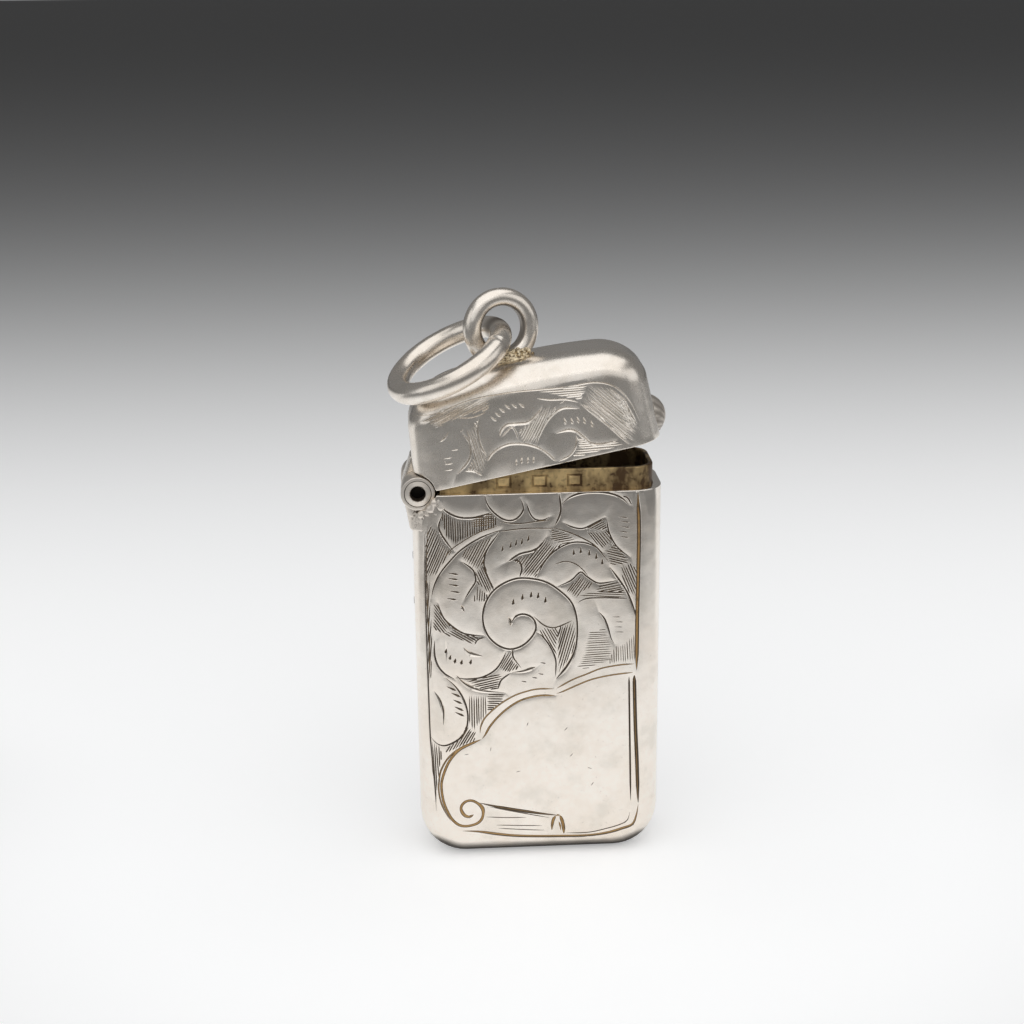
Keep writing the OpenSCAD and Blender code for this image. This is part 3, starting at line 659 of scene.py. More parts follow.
class Grooves:
    """All the cuts of one face, kept in small cells, so that the depth at a place is found quickly.

    Beside a long, strong cut the metal is pressed in a little, as far as its shoulder reaches.
    """

    CELL = 0.6
    STEEPNESS = 0.8
    LEAST = 0.004
    PRESSED_HALF = 0.1
    PRESSED_LENGTH = 2.4
    SHOULDER = 0.5
    SHOULDER_LINES = (0.2, 0.5, 1)
    DIP = 0.03

    def __init__(self, cuts):
        self.cuts = cuts
        self.cells = {}
        for stroke in cuts:
            shoulder = self.shoulder(stroke)
            for (here, wide, dark), (there, far_wide, _) in zip(stroke, stroke[1:]):
                room = max(wide, far_wide) + shoulder
                segment = (here, wide, there, far_wide, dark, shoulder)
                for i in self.span(here.x, there.x, room):
                    for k in self.span(here.y, there.y, room):
                        self.cells.setdefault((i, k), []).append(segment)

    def shoulder(self, stroke):
        """How far beside a cut the metal is pressed in: only long, strong cuts do that."""
        start, middle, stop = (stroke[k][0] for k in (0, len(stroke) // 2, -1))
        long = (start - middle).length + (middle - stop).length
        strong = max(half for _, half, _ in stroke) > self.PRESSED_HALF
        return self.SHOULDER if strong and long > self.PRESSED_LENGTH else 0

    def span(self, a, b, room):
        """Numbers of the cells between two places."""
        first = math.floor((min(a, b) - room) / self.CELL)
        last = math.floor((max(a, b) + room) / self.CELL)
        return range(first, last + 1)

    def depth(self, x, z):
        """How deep the metal lies at a place, cut and pressed in, and how much dirt lies there."""
        spot = Vector((x, z))
        deepest, dirt, pressed = 0, 0, 0
        near = self.cells.get((x // self.CELL, z // self.CELL), ())
        for here, wide, there, far_wide, dark, shoulder in near:
            step = there - here
            share = clamp((spot - here).dot(step) / max(step.length_squared, 1e-12))
            half = wide + (far_wide - wide) * share
            away = (spot - here.lerp(there, share)).length
            if away < half:
                deepest = max(deepest, self.STEEPNESS * (half - away))
                dirt = max(dirt, dark * (1 - away / half))
            if shoulder and away < half + shoulder:
                pressed = max(pressed, self.DIP * (1 - max(0, away - half) / shoulder) ** 2)
        return (deepest + pressed, dirt) if deepest > self.LEAST else (pressed, 0)

    def lines(self):
        """Middle, borders and shoulders of every cut, as lines for the triangles to follow."""
        lines = []
        for stroke in self.cuts:
            lines.append([place for place, *_ in stroke])
            shoulder = self.shoulder(stroke)
            for share in (0, *self.SHOULDER_LINES) if shoulder else (0,):
                lines += [self.border(stroke, share * shoulder, side) for side in (1, -1)]
        return lines

    def border(self, stroke, more, side):
        """A line on one side of a cut, by so much more than its half width."""
        last = len(stroke) - 1
        line = []
        for k, (place, half, _) in enumerate(stroke):
            way = (stroke[min(k + 1, last)][0] - stroke[max(k - 1, 0)][0]).normalized()
            line.append(place + Vector((-way.y, way.x)) * (half + more) * side)
        return line


class Skin:
    """One broad face of a shell, drawn flat in millimetres: a plate whose border rolls to the narrow sides.

    mouth is the height of the open end and bend that of the corners' centres at the closed end.
    """

    ROLL_STEPS = 9
    HEEL_STEPS = 8
    NOTCH_STEPS = 12
    MOUTH_STEPS = 24
    SIDE_STEPS = 12
    ARC_STEPS = 10
    STRIKER_STEPS = 7
    STEP_HALF = 0.01
    NOTCH_ROOM = 0.05
    INNER_STEPS = 6
    WELD = 1e-4
    ROLL_NEAR = 1e-3
    MOUTH_NEAR = 2e-3
    CLEAR = 0.02

    def __init__(self, left, right, mouth, bend, corner, bed, scallop, sizes):
        edge = in_mm(sizes.edge_round)
        self.left, self.right = left + corner, right - corner
        self.mouth, self.bend, self.edge = mouth, bend, edge
        self.toward = 1 if bend > mouth else -1
        self.flat = corner - edge
        self.core = in_mm(BODY_HIGH.y) - edge
        self.reach = self.flat + edge * math.pi / 2
        self.rim = in_mm(sizes.rim_round)
        self.bed, self.scallop = bed, scallop
        self.hinge = Vector((in_mm(HINGE.x), in_mm(HINGE.z)))
        self.hinge_half = in_mm(sizes.hinge_half)
        half_stop = in_mm(sizes.striker_length / 2) + self.CLEAR
        middle, steps = (self.left + self.right) / 2, self.STRIKER_STEPS
        self.stops = [middle + half_stop * (k / steps - 1) for k in range(2 * steps + 1)]

    def roll(self, x, z):
        """Nearest corner centre or inner line, direction from it and distance."""
        near = Vector((min(max(x, self.left), self.right), z))
        if (z - self.bend) * self.toward > 0:
            near.y = self.bend
        out = Vector((x, z)) - near
        return near, out.normalized(), out.length

    def place(self, x, z, inset=0):
        """The place on the front in space of a place on the drawing, inset into the metal."""
        near, way, far = self.roll(x, z)
        if far <= self.flat:
            return Vector((x, inset - self.core - self.edge, z))
        angle = (far - self.flat) / self.edge
        run = self.flat + (self.edge - inset) * math.sin(angle)
        raised = self.core + (self.edge - inset) * math.cos(angle)
        return Vector((near.x + way.x * run, -raised, near.y + way.y * run))

    def mouth_height(self, x):
        """Where the drawing ends at the open end: straight, or round the hinge's scallop and bed."""
        spot = self.place(x, self.mouth)
        radius = (self.scallop if -spot.y > self.hinge_half else self.bed) + self.rim
        aside = spot.x - self.hinge.x
        straight = self.mouth + self.toward * self.rim
        if abs(aside) >= radius or spot.x > 0:
            return straight
        rounded = self.hinge.y + self.toward * math.sqrt(radius ** 2 - aside ** 2)
        return max(straight, rounded) if self.toward > 0 else min(straight, rounded)

    def mouth_line(self):
        """The drawing's border at the open end, from the hinge side to the thumb side."""
        start, stop = self.left - self.reach, self.right + self.reach
        step_angle = math.acos((self.hinge_half - self.core) / self.edge)
        step = self.left - self.flat - self.edge * step_angle
        notch_end = self.hinge.x + self.scallop + self.rim
        flat_end, steps = self.right + self.flat, self.NOTCH_STEPS
        xs = [start + (step - start) * k / self.HEEL_STEPS for k in range(self.HEEL_STEPS)]
        xs += [step - self.STEP_HALF, step + self.STEP_HALF]
        xs += [step + (notch_end - step) * (1 - (1 - k / steps) ** 2) for k in range(1, steps)]
        xs += [notch_end, notch_end + self.NOTCH_ROOM]
        xs += [notch_end + (flat_end - notch_end) * k / self.MOUTH_STEPS
               for k in range(1, self.MOUTH_STEPS + 1)]
        xs += [flat_end + (stop - self.right - self.flat) * k / self.ROLL_STEPS
               for k in range(1, self.ROLL_STEPS + 1)]
        return [(x, self.mouth_height(x)) for x in xs]

    def roll_line(self, far):
        """A line round the plate at a distance from its corner centres, from mouth to mouth."""
        steps = self.SIDE_STEPS
        low = self.mouth_height(self.left - far)
        high = self.mouth_height(self.right + far)
        line = [(self.left - far, low + (self.bend - low) * k / steps) for k in range(steps)]
        line += self.arc(self.left, far, math.pi)
        line += [(x, self.bend + self.toward * far) for x in self.stops]
        line += self.arc(self.right, far, math.pi / 2)
        line += [(self.right + far, self.bend + (high - self.bend) * k / steps) for k in range(1, steps + 1)]
        return line

    def arc(self, centre, far, start):
        """A quarter round a corner's centre."""
        angles = [start - k / self.ARC_STEPS * math.pi / 2 for k in range(self.ARC_STEPS + 1)]
        return [(centre + far * math.cos(a), self.bend + self.toward * far * math.sin(a)) for a in angles]

    def inside(self, x, z):
        """Whether a place is on the drawing."""
        return self.roll(x, z)[2] < self.reach and (z - self.mouth_height(x)) * self.toward > 0

    def triangles(self, grooves):
        """Places and triangles of the drawing, with an edge along every cut and roll line."""
        lines = [self.mouth_line()]
        for k in range(self.ROLL_STEPS + 1):
            lines.append(self.roll_line(self.flat + self.edge * math.pi / 2 * k / self.ROLL_STEPS))
        lines += grooves.lines()
        spots, edges = [], []
        for line in lines:
            edges += [(len(spots) + k, len(spots) + k + 1) for k in range(len(line) - 1)]
            spots += [Vector(point) for point in line]
        spots, _, faces, *_ = delaunay_2d_cdt(spots, edges, [], 0, self.WELD, False)
        kept = []
        for face in faces:
            middle = sum((spots[k] for k in face), Vector((0, 0))) / 3
            if self.inside(*middle):
                kept.append(face)
        return spots, kept


def walk(start, first, stop):
    """Vertices along a mesh's open border, from start by way of first until stop."""
    chain = [start, first]
    while chain[-1] is not stop:
        ways = [edge.other_vert(chain[-1]) for edge in chain[-1].link_edges if edge.is_boundary]
        chain.append(next(vert for vert in ways if vert is not chain[-2]))
    return chain


def engraved_face(form, skin, grooves, side, drawn):
    """Adds the front (side 1) or the back (side -1) to a form.

    Gives the vertices along its rolled border and those along its mouth. drawn takes up where each
    vertex lies on the drawing, and on which side.
    """
    dirt = form.verts.layers.float[DIRT]
    spots, faces = skin.triangles(grooves)
    verts = {}
    for face in faces:
        for k in face:
            if k not in verts:
                x, z = spots[k]
                depth, soiled = grooves.depth(x, z)
                place = skin.place(x, z, depth)
                verts[k] = form.verts.new((place.x, place.y * side, place.z))
                verts[k][dirt] = soiled
                drawn[verts[k]] = (x, z, side)
        form.faces.new([verts[k] for k in (face if side > 0 else reversed(face))])
    ends = []
    for vert in verts.values():
        x, z, _ = drawn[vert]
        rolled = abs(skin.roll(x, z)[2] - skin.reach) < skin.ROLL_NEAR
        if vert.is_boundary and rolled and abs(z - skin.mouth_height(x)) < skin.MOUTH_NEAR:
            ends.append(vert)
    ends.sort(key=lambda vert: drawn[vert][0])
    start, stop = ends[0], ends[-1]
    ways = [edge.other_vert(start) for edge in start.link_edges if edge.is_boundary]
    by_side = max(ways, key=lambda vert: abs(drawn[vert][1] - drawn[start][1]))
    by_mouth = next(vert for vert in ways if vert is not by_side)
    return walk(start, by_side, stop), walk(start, by_mouth, stop)


def shell_mesh(skin, cuts, sheet, pocket=None):
    """A whole shell: engraved front and back, narrow sides, worn rim and plain inner wall.

    pocket is half the length and half the width of the striker's bed in the closed end.
    """
    form = bmesh.new()
    dirt = form.verts.layers.float.new(DIRT)
    drawn = {}
    front_side, front_mouth = engraved_face(form, skin, Grooves(cuts), 1, drawn)
    back_side, back_mouth = engraved_face(form, skin, Grooves(turned_back(cuts)), -1, drawn)
    rows = [front_side]
    for y in (-pocket[1], 0, pocket[1]) if pocket else [skin.core * k / 3 for k in (-2, 0, 2)]:
        rows.append([form.verts.new((vert.co.x, y, vert.co.z)) for vert in front_side])
    rows.append(back_side)
    for row, after in zip(rows, rows[1:]):
        for k in range(len(row) - 1):
            form.faces.new((row[k], row[k + 1], after[k + 1], after[k]))
    thumb_side = [row[-1] for row in rows[1:-1]]
    hinge_side = [row[0] for row in rows[-2:0:-1]]
    outside = set(form.faces)
    close_shell(form, skin, front_mouth + thumb_side + back_mouth[::-1] + hinge_side, drawn, sheet)
    # The rim and inner wall take the second finish, which for body and lid is gilt darkened with painted shade.
    for face in set(form.faces) - outside:
        face.material_index = 1
    if pocket:
        sink_pocket(form, pocket, sheet)
    bmesh.ops.recalc_face_normals(form, faces=form.faces)
    for face in form.faces:
        face.smooth = True
    for edge in form.edges:
        soiled = {max(vert[dirt] for vert in face.verts) > 0 for face in edge.link_faces}
        crease = len(edge.link_faces) == 2 and edge.calc_face_angle() > math.radians(CREASE_DEGREES)
        edge.smooth = not (crease or len(soiled) > 1)
    return form


def rim_place(skin, vert, drawn, inset, ahead, sheet):
    """Where a vertex of the mouth goes when it moves into the metal and ahead over the rim."""
    if vert in drawn:
        x, z, side = drawn[vert]
        place = skin.place(x, z, inset)
        place.y *= side
    else:
        place = vert.co.copy()
        place.x -= math.copysign(inset, place.x)
    aside = Vector((place.x - skin.hinge.x, place.z - skin.hinge.y))
    scooped = abs(place.z - skin.mouth - skin.toward * skin.rim) > skin.WELD
    if place.x < 0 and aside.length < skin.scallop + 2 * skin.rim + sheet and scooped:
        back = aside.normalized() * ahead
        place -= Vector((back.x, 0, back.y))
    else:
        place.z -= skin.toward * ahead
    return place


def close_shell(form, skin, loop, drawn, sheet):
    """Rounds the rim over, carries the inner wall to the closed end and closes it."""
    rim = skin.rim
    turned = [(rim * (1 - math.cos(a)), rim * math.sin(a)) for a in (math.pi / 6, math.pi / 3, math.pi / 2)]
    steps = turned + [(sheet - inset, ahead) for inset, ahead in reversed(turned)] + [(sheet, 0)]
    last = loop
    for inset, ahead in steps:
        fresh = [form.verts.new(rim_place(skin, vert, drawn, inset, ahead, sheet)) for vert in loop]
        bridge(form, last, fresh)
        last = fresh
    end = skin.bend + skin.toward * (skin.flat + skin.edge - sheet)
    heights = [(skin.mouth + skin.bend) / 2, skin.bend]
    for k in range(1, skin.INNER_STEPS + 1):
        heights.append(skin.bend + (end - skin.bend) * math.sin(math.pi / 2 * k / skin.INNER_STEPS))
    half = (skin.right - skin.left) / 2
    middle = (skin.right + skin.left) / 2
    turn_x, turn_y = skin.flat + skin.edge - sheet, skin.edge - sheet
    base = [vert.co.copy() for vert in last]
    for z in heights:
        deep_x = max(0, (z - skin.bend) * skin.toward)
        deep_y = max(0, deep_x - skin.flat)
        narrow_x = (half + math.sqrt(max(0, turn_x ** 2 - deep_x ** 2))) / (half + turn_x)
        narrow_y = (skin.core + math.sqrt(max(0, turn_y ** 2 - deep_y ** 2))) / (skin.core + turn_y)
        fresh = []
        for place in base:
            fresh.append(form.verts.new((middle + (place.x - middle) * narrow_x, place.y * narrow_y, z)))
        bridge(form, last, fresh)
        last = fresh
    form.faces.new(last)


def bridge(form, loop, other):
    """Joins two closed loops of as many vertices."""
    for k in range(len(loop)):
        form.faces.new((loop[k - 1], loop[k], other[k], other[k - 1]))


def sink_pocket(form, pocket, sheet):
    """Opens the bed for the striker in the closed end."""
    long, wide = pocket
    form.normal_update()
    bed = []
    for face in form.faces:
        middle = face.calc_center_median()
        under = abs(middle.x) < long and abs(middle.y) < wide and middle.z < sheet / 2
        if under and face.material_index == 0 and abs(face.normal.z) > FLAT:
            bed.append(face)
    if not bed:
        raise RuntimeError("no room for the striker's bed in the base")
    sunk = bmesh.ops.extrude_face_region(form, geom=bed)
    bmesh.ops.delete(form, geom=[face for face in bed if face.is_valid], context="FACES")
    raised = [item for item in sunk["geom"] if isinstance(item, bmesh.types.BMVert)]
    bmesh.ops.translate(form, verts=raised, vec=(0, 0, sheet * BED_SHARE))


def clear_hands():
    """Leaves edit mode and lets go of everything."""
    if bpy.context.object and bpy.context.object.mode != "OBJECT":
        bpy.ops.object.mode_set(mode="OBJECT")
    bpy.ops.object.select_all(action="DESELECT")


def hold(piece):
    """Makes one piece the only one that operators act on."""
    clear_hands()
    piece.select_set(True)
    bpy.context.view_layer.objects.active = piece


def added():
    """The primitive just added, its place put into its mesh."""
    bpy.ops.object.transform_apply(location=True, rotation=True, scale=True)
    return bpy.context.object


@contextmanager
def editing(piece):
    """Edit mode on one piece, for as long as a with block lasts."""
    hold(piece)
    bpy.ops.object.mode_set(mode="EDIT")
    yield
    bpy.ops.object.mode_set(mode="OBJECT")


def choose(piece, kind, test):
    """In edit mode, selects the edges or faces that pass a test."""
    modes = {"edges": "EDGE", "faces": "FACE"}
    bpy.ops.mesh.select_mode(type=modes[kind])
    bpy.ops.mesh.select_all(action="DESELECT")
    form = bmesh.from_edit_mesh(piece.data)
    for item in getattr(form, kind):
        item.select_set(bool(test(item)))
    form.select_flush_mode()
    bmesh.update_edit_mesh(piece.data)


def reshape(piece, rule):
    """In edit mode, moves every vertex to where a rule puts it."""
    form = bmesh.from_edit_mesh(piece.data)
    for vert in form.verts:
        vert.co = rule(vert.co)
    bmesh.update_edit_mesh(piece.data)


def slice_all(place, normal, **settings):
    """In edit mode, cuts the whole piece along a plane."""
    bpy.ops.mesh.select_all(action="SELECT")
    bpy.ops.mesh.bisect(plane_co=place, plane_no=normal, **settings)


def inset_steps(steps, **settings):
    """In edit mode, insets the chosen faces again and again, by thickness and depth in metres."""
    for thickness, depth in steps:
        bpy.ops.mesh.inset(thickness=thickness, depth=depth, **settings)


def middle_of(item):
    """The middle of an edge or face."""
    return sum((vert.co for vert in item.verts), Vector()) / len(item.verts)


def reach_of(edge, axis):
    """How far an edge reaches along an axis, 0 to 2 for x to z."""
    return abs(edge.verts[0].co[axis] - edge.verts[1].co[axis])


def modify(piece, kind, **settings):
    """Adds a modifier and applies it."""
    hold(piece)
    modifier = piece.modifiers.new(kind.lower(), kind)
    for name, value in settings.items():
        setattr(modifier, name, value)
    bpy.ops.object.modifier_apply(modifier=modifier.name)


def clouds(name, grain):
    """A cloud texture for uneven surfaces; grain is its size in metres."""
    texture = bpy.data.textures.get(name) or bpy.data.textures.new(name, "CLOUDS")
    texture.noise_scale = grain
    texture.noise_depth = 3
    return texture


def join(pieces):
    """Joins several pieces into the first."""
    clear_hands()
    for piece in pieces:
        piece.select_set(True)
    bpy.context.view_layer.objects.active = pieces[0]
    bpy.ops.object.join()
    return pieces[0]


def smooth(piece, degrees=CREASE_DEGREES):
    """Smooth shading with the sharper edges kept."""
    hold(piece)
    bpy.ops.object.shade_smooth_by_angle(angle=math.radians(degrees))


def soil(piece, amount):
    """Puts dirt on a piece, by a rule that gives the amount at a place, 0 to 1."""
    dirt = piece.data.attributes.new(DIRT, "FLOAT", "POINT")
    for vert in piece.data.vertices:
        dirt.data[vert.index].value = amount(vert.co)


def hollow(vert):
    """How far a vertex lies below its neighbours, as a slope."""
    ways = [(edge.other_vert(vert).co - vert.co).normalized() for edge in vert.link_edges]
    return sum(way.dot(vert.normal) for way in ways) / len(ways)


def soil_hollows(piece, least, growth, most=0.6):
    """Puts a little dirt all over a piece and more into its hollows."""
    form = bmesh.new()
    form.from_mesh(piece.data)
    dirt = form.verts.layers.float.new(DIRT)
    for vert in form.verts:
        vert[dirt] = min(most, least + growth * max(0, hollow(vert)))
    form.to_mesh(piece.data)
    form.free()


def finish_piece(piece, name, body, nodes, slot, *finishes):
    """Names a piece, gives it its finishes and lets it ride on a body in place of CAD nodes."""
    piece.name = name
    piece.data.name = name
    piece.data.materials.clear()
    for finish in finishes:
        piece.data.materials.append(bpy.data.materials[finish])
    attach(piece, body)
    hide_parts(*nodes)


def shell_piece(form):
    """An object from a finished form in millimetres."""
    form.transform(Matrix.Scale(MM, 4))
    mesh = bpy.data.meshes.new("shell")
    form.to_mesh(mesh)
    form.free()
    piece = bpy.data.objects.new("shell", mesh)
    bpy.context.scene.collection.objects.link(piece)
    return piece


class VestaOperator:
    """What the operators share."""

    bl_options = {"REGISTER", "UNDO"}

    @property
    def sizes(self):
        return bpy.context.scene.vesta_sizes

    @property
    def looks(self):
        return bpy.context.scene.vesta_finishes

    def execute(self, context):
        clear_hands()
        self.build()
        clear_hands()
        return {"FINISHED"}


class VESTA_OT_finishes(VestaOperator, bpy.types.Operator):
    """Makes the metals' finishes"""

    bl_idname = "vesta.finishes"
    bl_label = "Finishes"
    SILVERS = {"worn_silver": 0.13, "satin_silver": 0.22, "frosted_silver": 0.36}
    # The insides' gilt is darkened all over by its stain, as painted shade.
    GILTS = {"old_gilt": 0, "stained_gilt": 0.6}

    def build(self):
        looks = self.looks
        for name, rough in self.SILVERS.items():
            silver_finish(looks, name, rough)
        for name, stain in self.GILTS.items():
            gilt_finish(looks, name, stain)
        solder_finish(looks)
        steel_finish(looks, "dull_steel", looks.steel)
        steel_finish(looks, "black_steel", looks.old_steel)


class VESTA_OT_body(VestaOperator, bpy.types.Operator):
    """Raises the body with its engraved front and back"""

    bl_idname = "vesta.body"
    bl_label = "Body"
    SCARS_SEED = 11
    SCARS_LOW = (-7.5, 6.5)
    SCARS_HIGH = (8, 15)

    def build(self):
        sizes = self.sizes
        left, right, mouth = in_mm(BODY_LOW.x), in_mm(BODY_HIGH.x), in_mm(BODY_HIGH.z)
        corner, bed = in_mm(sizes.foot_corner), in_mm(sizes.body_bed)
        skin = Skin(left, right, mouth, corner, corner, bed, bed, sizes)
        cuts = scroll_cuts(in_mm(sizes.hatch_pitch)) + cartouche_cuts()
        cuts += scars(self.SCARS_SEED, self.SCARS_LOW, self.SCARS_HIGH)
        pocket = [in_mm(length / 2) + skin.CLEAR for length in (sizes.striker_length, sizes.striker_width)]
        piece = shell_piece(shell_mesh(skin, cuts, in_mm(sizes.body_sheet), pocket))
        finish_piece(piece, "body_engraved", "case", ["body_shell"], "silver", "worn_silver", "stained_gilt")


class VESTA_OT_lid(VestaOperator, bpy.types.Operator):
    """Raises the lid with its engraving, and swings it to where it stands"""

    bl_idname = "vesta.lid"
    bl_label = "Lid"
    LEAN_STARTS = 5
    LEAN_GROWS = 4
    SOILED = 0.2
    WIDER = 1.2
    SCARS_SEED = 5
    SCARS_LOW = (-9, 0.5)
    SCARS_HIGH = (10, 6)

    def build(self):
        sizes = self.sizes
        left, right = in_mm(BODY_LOW.x), in_mm(BODY_HIGH.x + sizes.lid_lip)
        mouth = in_mm(BODY_HIGH.z + sizes.seam)
        crown = in_mm(BODY_HIGH.z + sizes.lid_height)
        corner = in_mm(sizes.crown_corner)
        bend = crown - corner
        skin = Skin(left, right, mouth, bend, corner, in_mm(sizes.lid_bed), in_mm(sizes.lid_scallop), sizes)
        skin.hinge.x -= in_mm(sizes.heel_set)
        drawing = lid_cuts(in_mm(sizes.hatch_pitch)) + scars(self.SCARS_SEED, self.SCARS_LOW, self.SCARS_HIGH)
        cuts = [[self.upright(*point, mouth) for point in stroke] for stroke in drawing]
        form = shell_mesh(skin, cuts, in_mm(sizes.lid_sheet))
        for vert in form.verts:
            rise = clamp((vert.co.z - bend) / (crown - bend))
            aside = min(abs(vert.co.x - (left + right) / 2), skin.right - skin.left)
            vert.co.x += self.lean(vert.co.x, vert.co.z - mouth)
            vert.co.z -= rise * aside ** 2 / (2 * in_mm(sizes.crown_bow))
        piece = shell_piece(form)
        piece.data.transform(LID_TURN)
        finish_piece(piece, "lid_engraved", "lid", ["lid_shell"], "silver", "satin_silver", "stained_gilt")

    def upright(self, place, half, dark, mouth):
        """A point of the drawing raised to the lid and moved so that the lean brings it back."""
        place = place + Vector((0, mouth))
        spot = Vector((place.x - self.lean(place.x, place.y - mouth), place.y))
        return spot, half * self.WIDER, dark * self.SOILED

    def lean(self, x, rise):
        """How far to the right the lid's ends stand from upright at a height above its mouth."""
        share = clamp((abs(x) - self.LEAN_STARTS) / self.LEAN_GROWS)
        if x > 0:
            shift = -math.tan(self.sizes.thumb_lean) * rise
        else:
            shift = math.tan(self.sizes.heel_lean) * rise + in_mm(self.sizes.heel_set)
        return shift * share ** 2 * (3 - 2 * share)


class VESTA_OT_collar(VestaOperator, bpy.types.Operator):
    """Bends the gilt collar and punches its three blank marks"""

    bl_idname = "vesta.collar"
    bl_label = "Collar"
    MARKS = (-3.1, 0.15, 3.35)
    MARK_HALF = 0.72
    MARK_LOW = 0.26
    MARK_HIGH = 1.5
    MARK_STEPS = ((0.09, -0.1), (0.1, 0), (0.09, 0.08), (0.12, 0.04))
    RIM = 0.11
    FACE_WITHIN = 0.08
    THUMB_END = 6
    THUMB_GROWS = 3.5

    def build(self):
        sizes = self.sizes
        tall = COLLAR_HIGH.z - COLLAR_LOW.z
        bpy.ops.mesh.primitive_cube_add(size=1, location=(0, 0, (COLLAR_HIGH.z + COLLAR_LOW.z) / 2),
                                        scale=(2 * COLLAR_HIGH.x, 2 * COLLAR_HIGH.y, tall))
        collar = added()
        with editing(collar):
            choose(collar, "faces", lambda face: abs(face.normal.z) > 0.5)
            bpy.ops.mesh.delete(type="FACE")
            choose(collar, "edges", lambda edge: reach_of(edge, 2) > tall / 2)
            bpy.ops.mesh.bevel(offset=sizes.edge_round - sizes.body_sheet, segments=10, affect="EDGES")
            slice_all((COLLAR_LOW.x, 0, 0), (1, 0, 0), clear_inner=True)
            for mark in self.MARKS:
                for side in (-1, 1):
                    slice_all(((mark + side * self.MARK_HALF) * MM, 0, 0), (1, 0, 0))
            for rise in (self.MARK_LOW, self.MARK_HIGH):
                slice_all((0, 0, HINGE.z + rise * MM), (0, 0, 1))
        modify(collar, "SOLIDIFY", thickness=sizes.collar_sheet, offset=-1, use_even_offset=True)
        with editing(collar):
            choose(collar, "faces", self.is_mark)
            inset_steps([(wide * MM, deep * MM) for wide, deep in self.MARK_STEPS], use_individual=True)
            choose(collar, "edges", lambda edge: middle_of(edge).z > COLLAR_HIGH.z - 1e-6)
            bpy.ops.mesh.bevel(offset=self.RIM * MM, segments=3, affect="EDGES")
        smooth(collar, 32)
        soil(collar, self.stain)
        finish_piece(collar, "collar_gilt", "case", ["collar"], "gilt", "old_gilt")

    def stain(self, place):
        """Dirt of the collar in the hollows of the marks, darker toward the thumb end, and painted shade on all
        but its outer front.
        """
        front = COLLAR_LOW.y + self.FACE_WITHIN * MM
        # Every face but the outer front is darkened as painted shade.
        if place.y > front + 0.1 * MM:
            return 0.9
        level = (place.z - HINGE.z) / MM
        raised = any(abs(place.x / MM - mark) < self.MARK_HALF - 0.2 for mark in self.MARKS) and level > 0
        sunk = front < place.y and level > 0
        marked = 0 if raised else 0.7 if sunk else 0.2
        return max(marked, min(0.9, max(0, place.x / MM - self.THUMB_END) / self.THUMB_GROWS))

    def is_mark(self, face):
        """Whether a face is one of the three places for a mark on the outer front."""
        middle = middle_of(face) / MM
        rise = middle.z - in_mm(HINGE.z)
        marked = any(abs(middle.x - mark) < self.MARK_HALF / 2 for mark in self.MARKS)
        return face.normal.y < -FLAT and marked and self.MARK_LOW < rise < self.MARK_HIGH


class VESTA_OT_knuckles(VestaOperator, bpy.types.Operator):
    """Turns the three knuckles of the hinge, each a tube with a grooved rim"""

    bl_idname = "vesta.knuckles"
    bl_label = "Knuckles"
    EDGE = 0.07
    RIM = 0.22
    GROOVE = 0.04
    LIP = (0.05, 0.04)
    DIRT_IN = 0.6

    def build(self):
        half, gap = self.sizes.hinge_half, self.sizes.knuckle_gap / 2
        third = half / 3
        wide, narrow = self.sizes.knuckle, self.sizes.lid_knuckle
        self.knuckle("front_knuckle_tube", "front_knuckle", "case", -half, -third - gap, wide)
        self.knuckle("lid_knuckle_tube", "lid_knuckle", "lid", gap - third, third - gap, narrow)
        self.knuckle("rear_knuckle_tube", "rear_knuckle", "case", third + gap, half, wide)

    def knuckle(self, name, node, body, start, stop, radius):
        """One knuckle between two places on the hinge's axis."""
        bore = self.sizes.bore
        bpy.ops.mesh.primitive_cylinder_add(
            vertices=64, radius=radius, depth=stop - start, location=(HINGE.x, (start + stop) / 2, HINGE.z),
            rotation=(math.pi / 2, 0, 0))
        tube = added()
        rim, groove = self.RIM * MM, self.GROOVE * MM
        land = radius - self.EDGE * MM - rim - 2 * groove - bore - sum(self.LIP) * MM
        steps = [(rim, 0), (groove, -0.1 * MM), (groove, 0.06 * MM), (land, 0.1 * MM)]
        steps += [(lip * MM, -0.05 * MM) for lip in self.LIP]
        with editing(tube):
            choose(tube, "edges", lambda edge: reach_of(edge, 1) < 1e-6)
            bpy.ops.mesh.bevel(offset=self.EDGE * MM, segments=3, affect="EDGES")
            for side in (-1, 1):
                choose(tube, "faces", lambda face: face.normal.y * side > 0.99 and len(face.verts) > 8)
                inset_steps(steps)
                bpy.ops.mesh.delete(type="FACE")
            choose(tube, "edges", lambda edge: edge.is_boundary)
            bpy.ops.mesh.bridge_edge_loops()
            bpy.ops.mesh.select_all(action="SELECT")
            bpy.ops.mesh.normals_make_consistent(inside=False)
        smooth(tube, 35)
        sunk = radius - self.EDGE * MM - rim - groove
        soil(tube, lambda place: self.stain(place, sunk, bore))
        finish_piece(tube, name, body, [node], "silver", "frosted_silver")

    def stain(self, place, sunk, bore):
        """Dirt of a knuckle: in the groove of its rim and in its bore."""
        out = math.hypot(place.x - HINGE.x, place.z - HINGE.z)
        grooved = abs(out - sunk) < self.GROOVE * MM / 2
        return self.DIRT_IN if grooved or out < bore + 0.02 * MM else 0


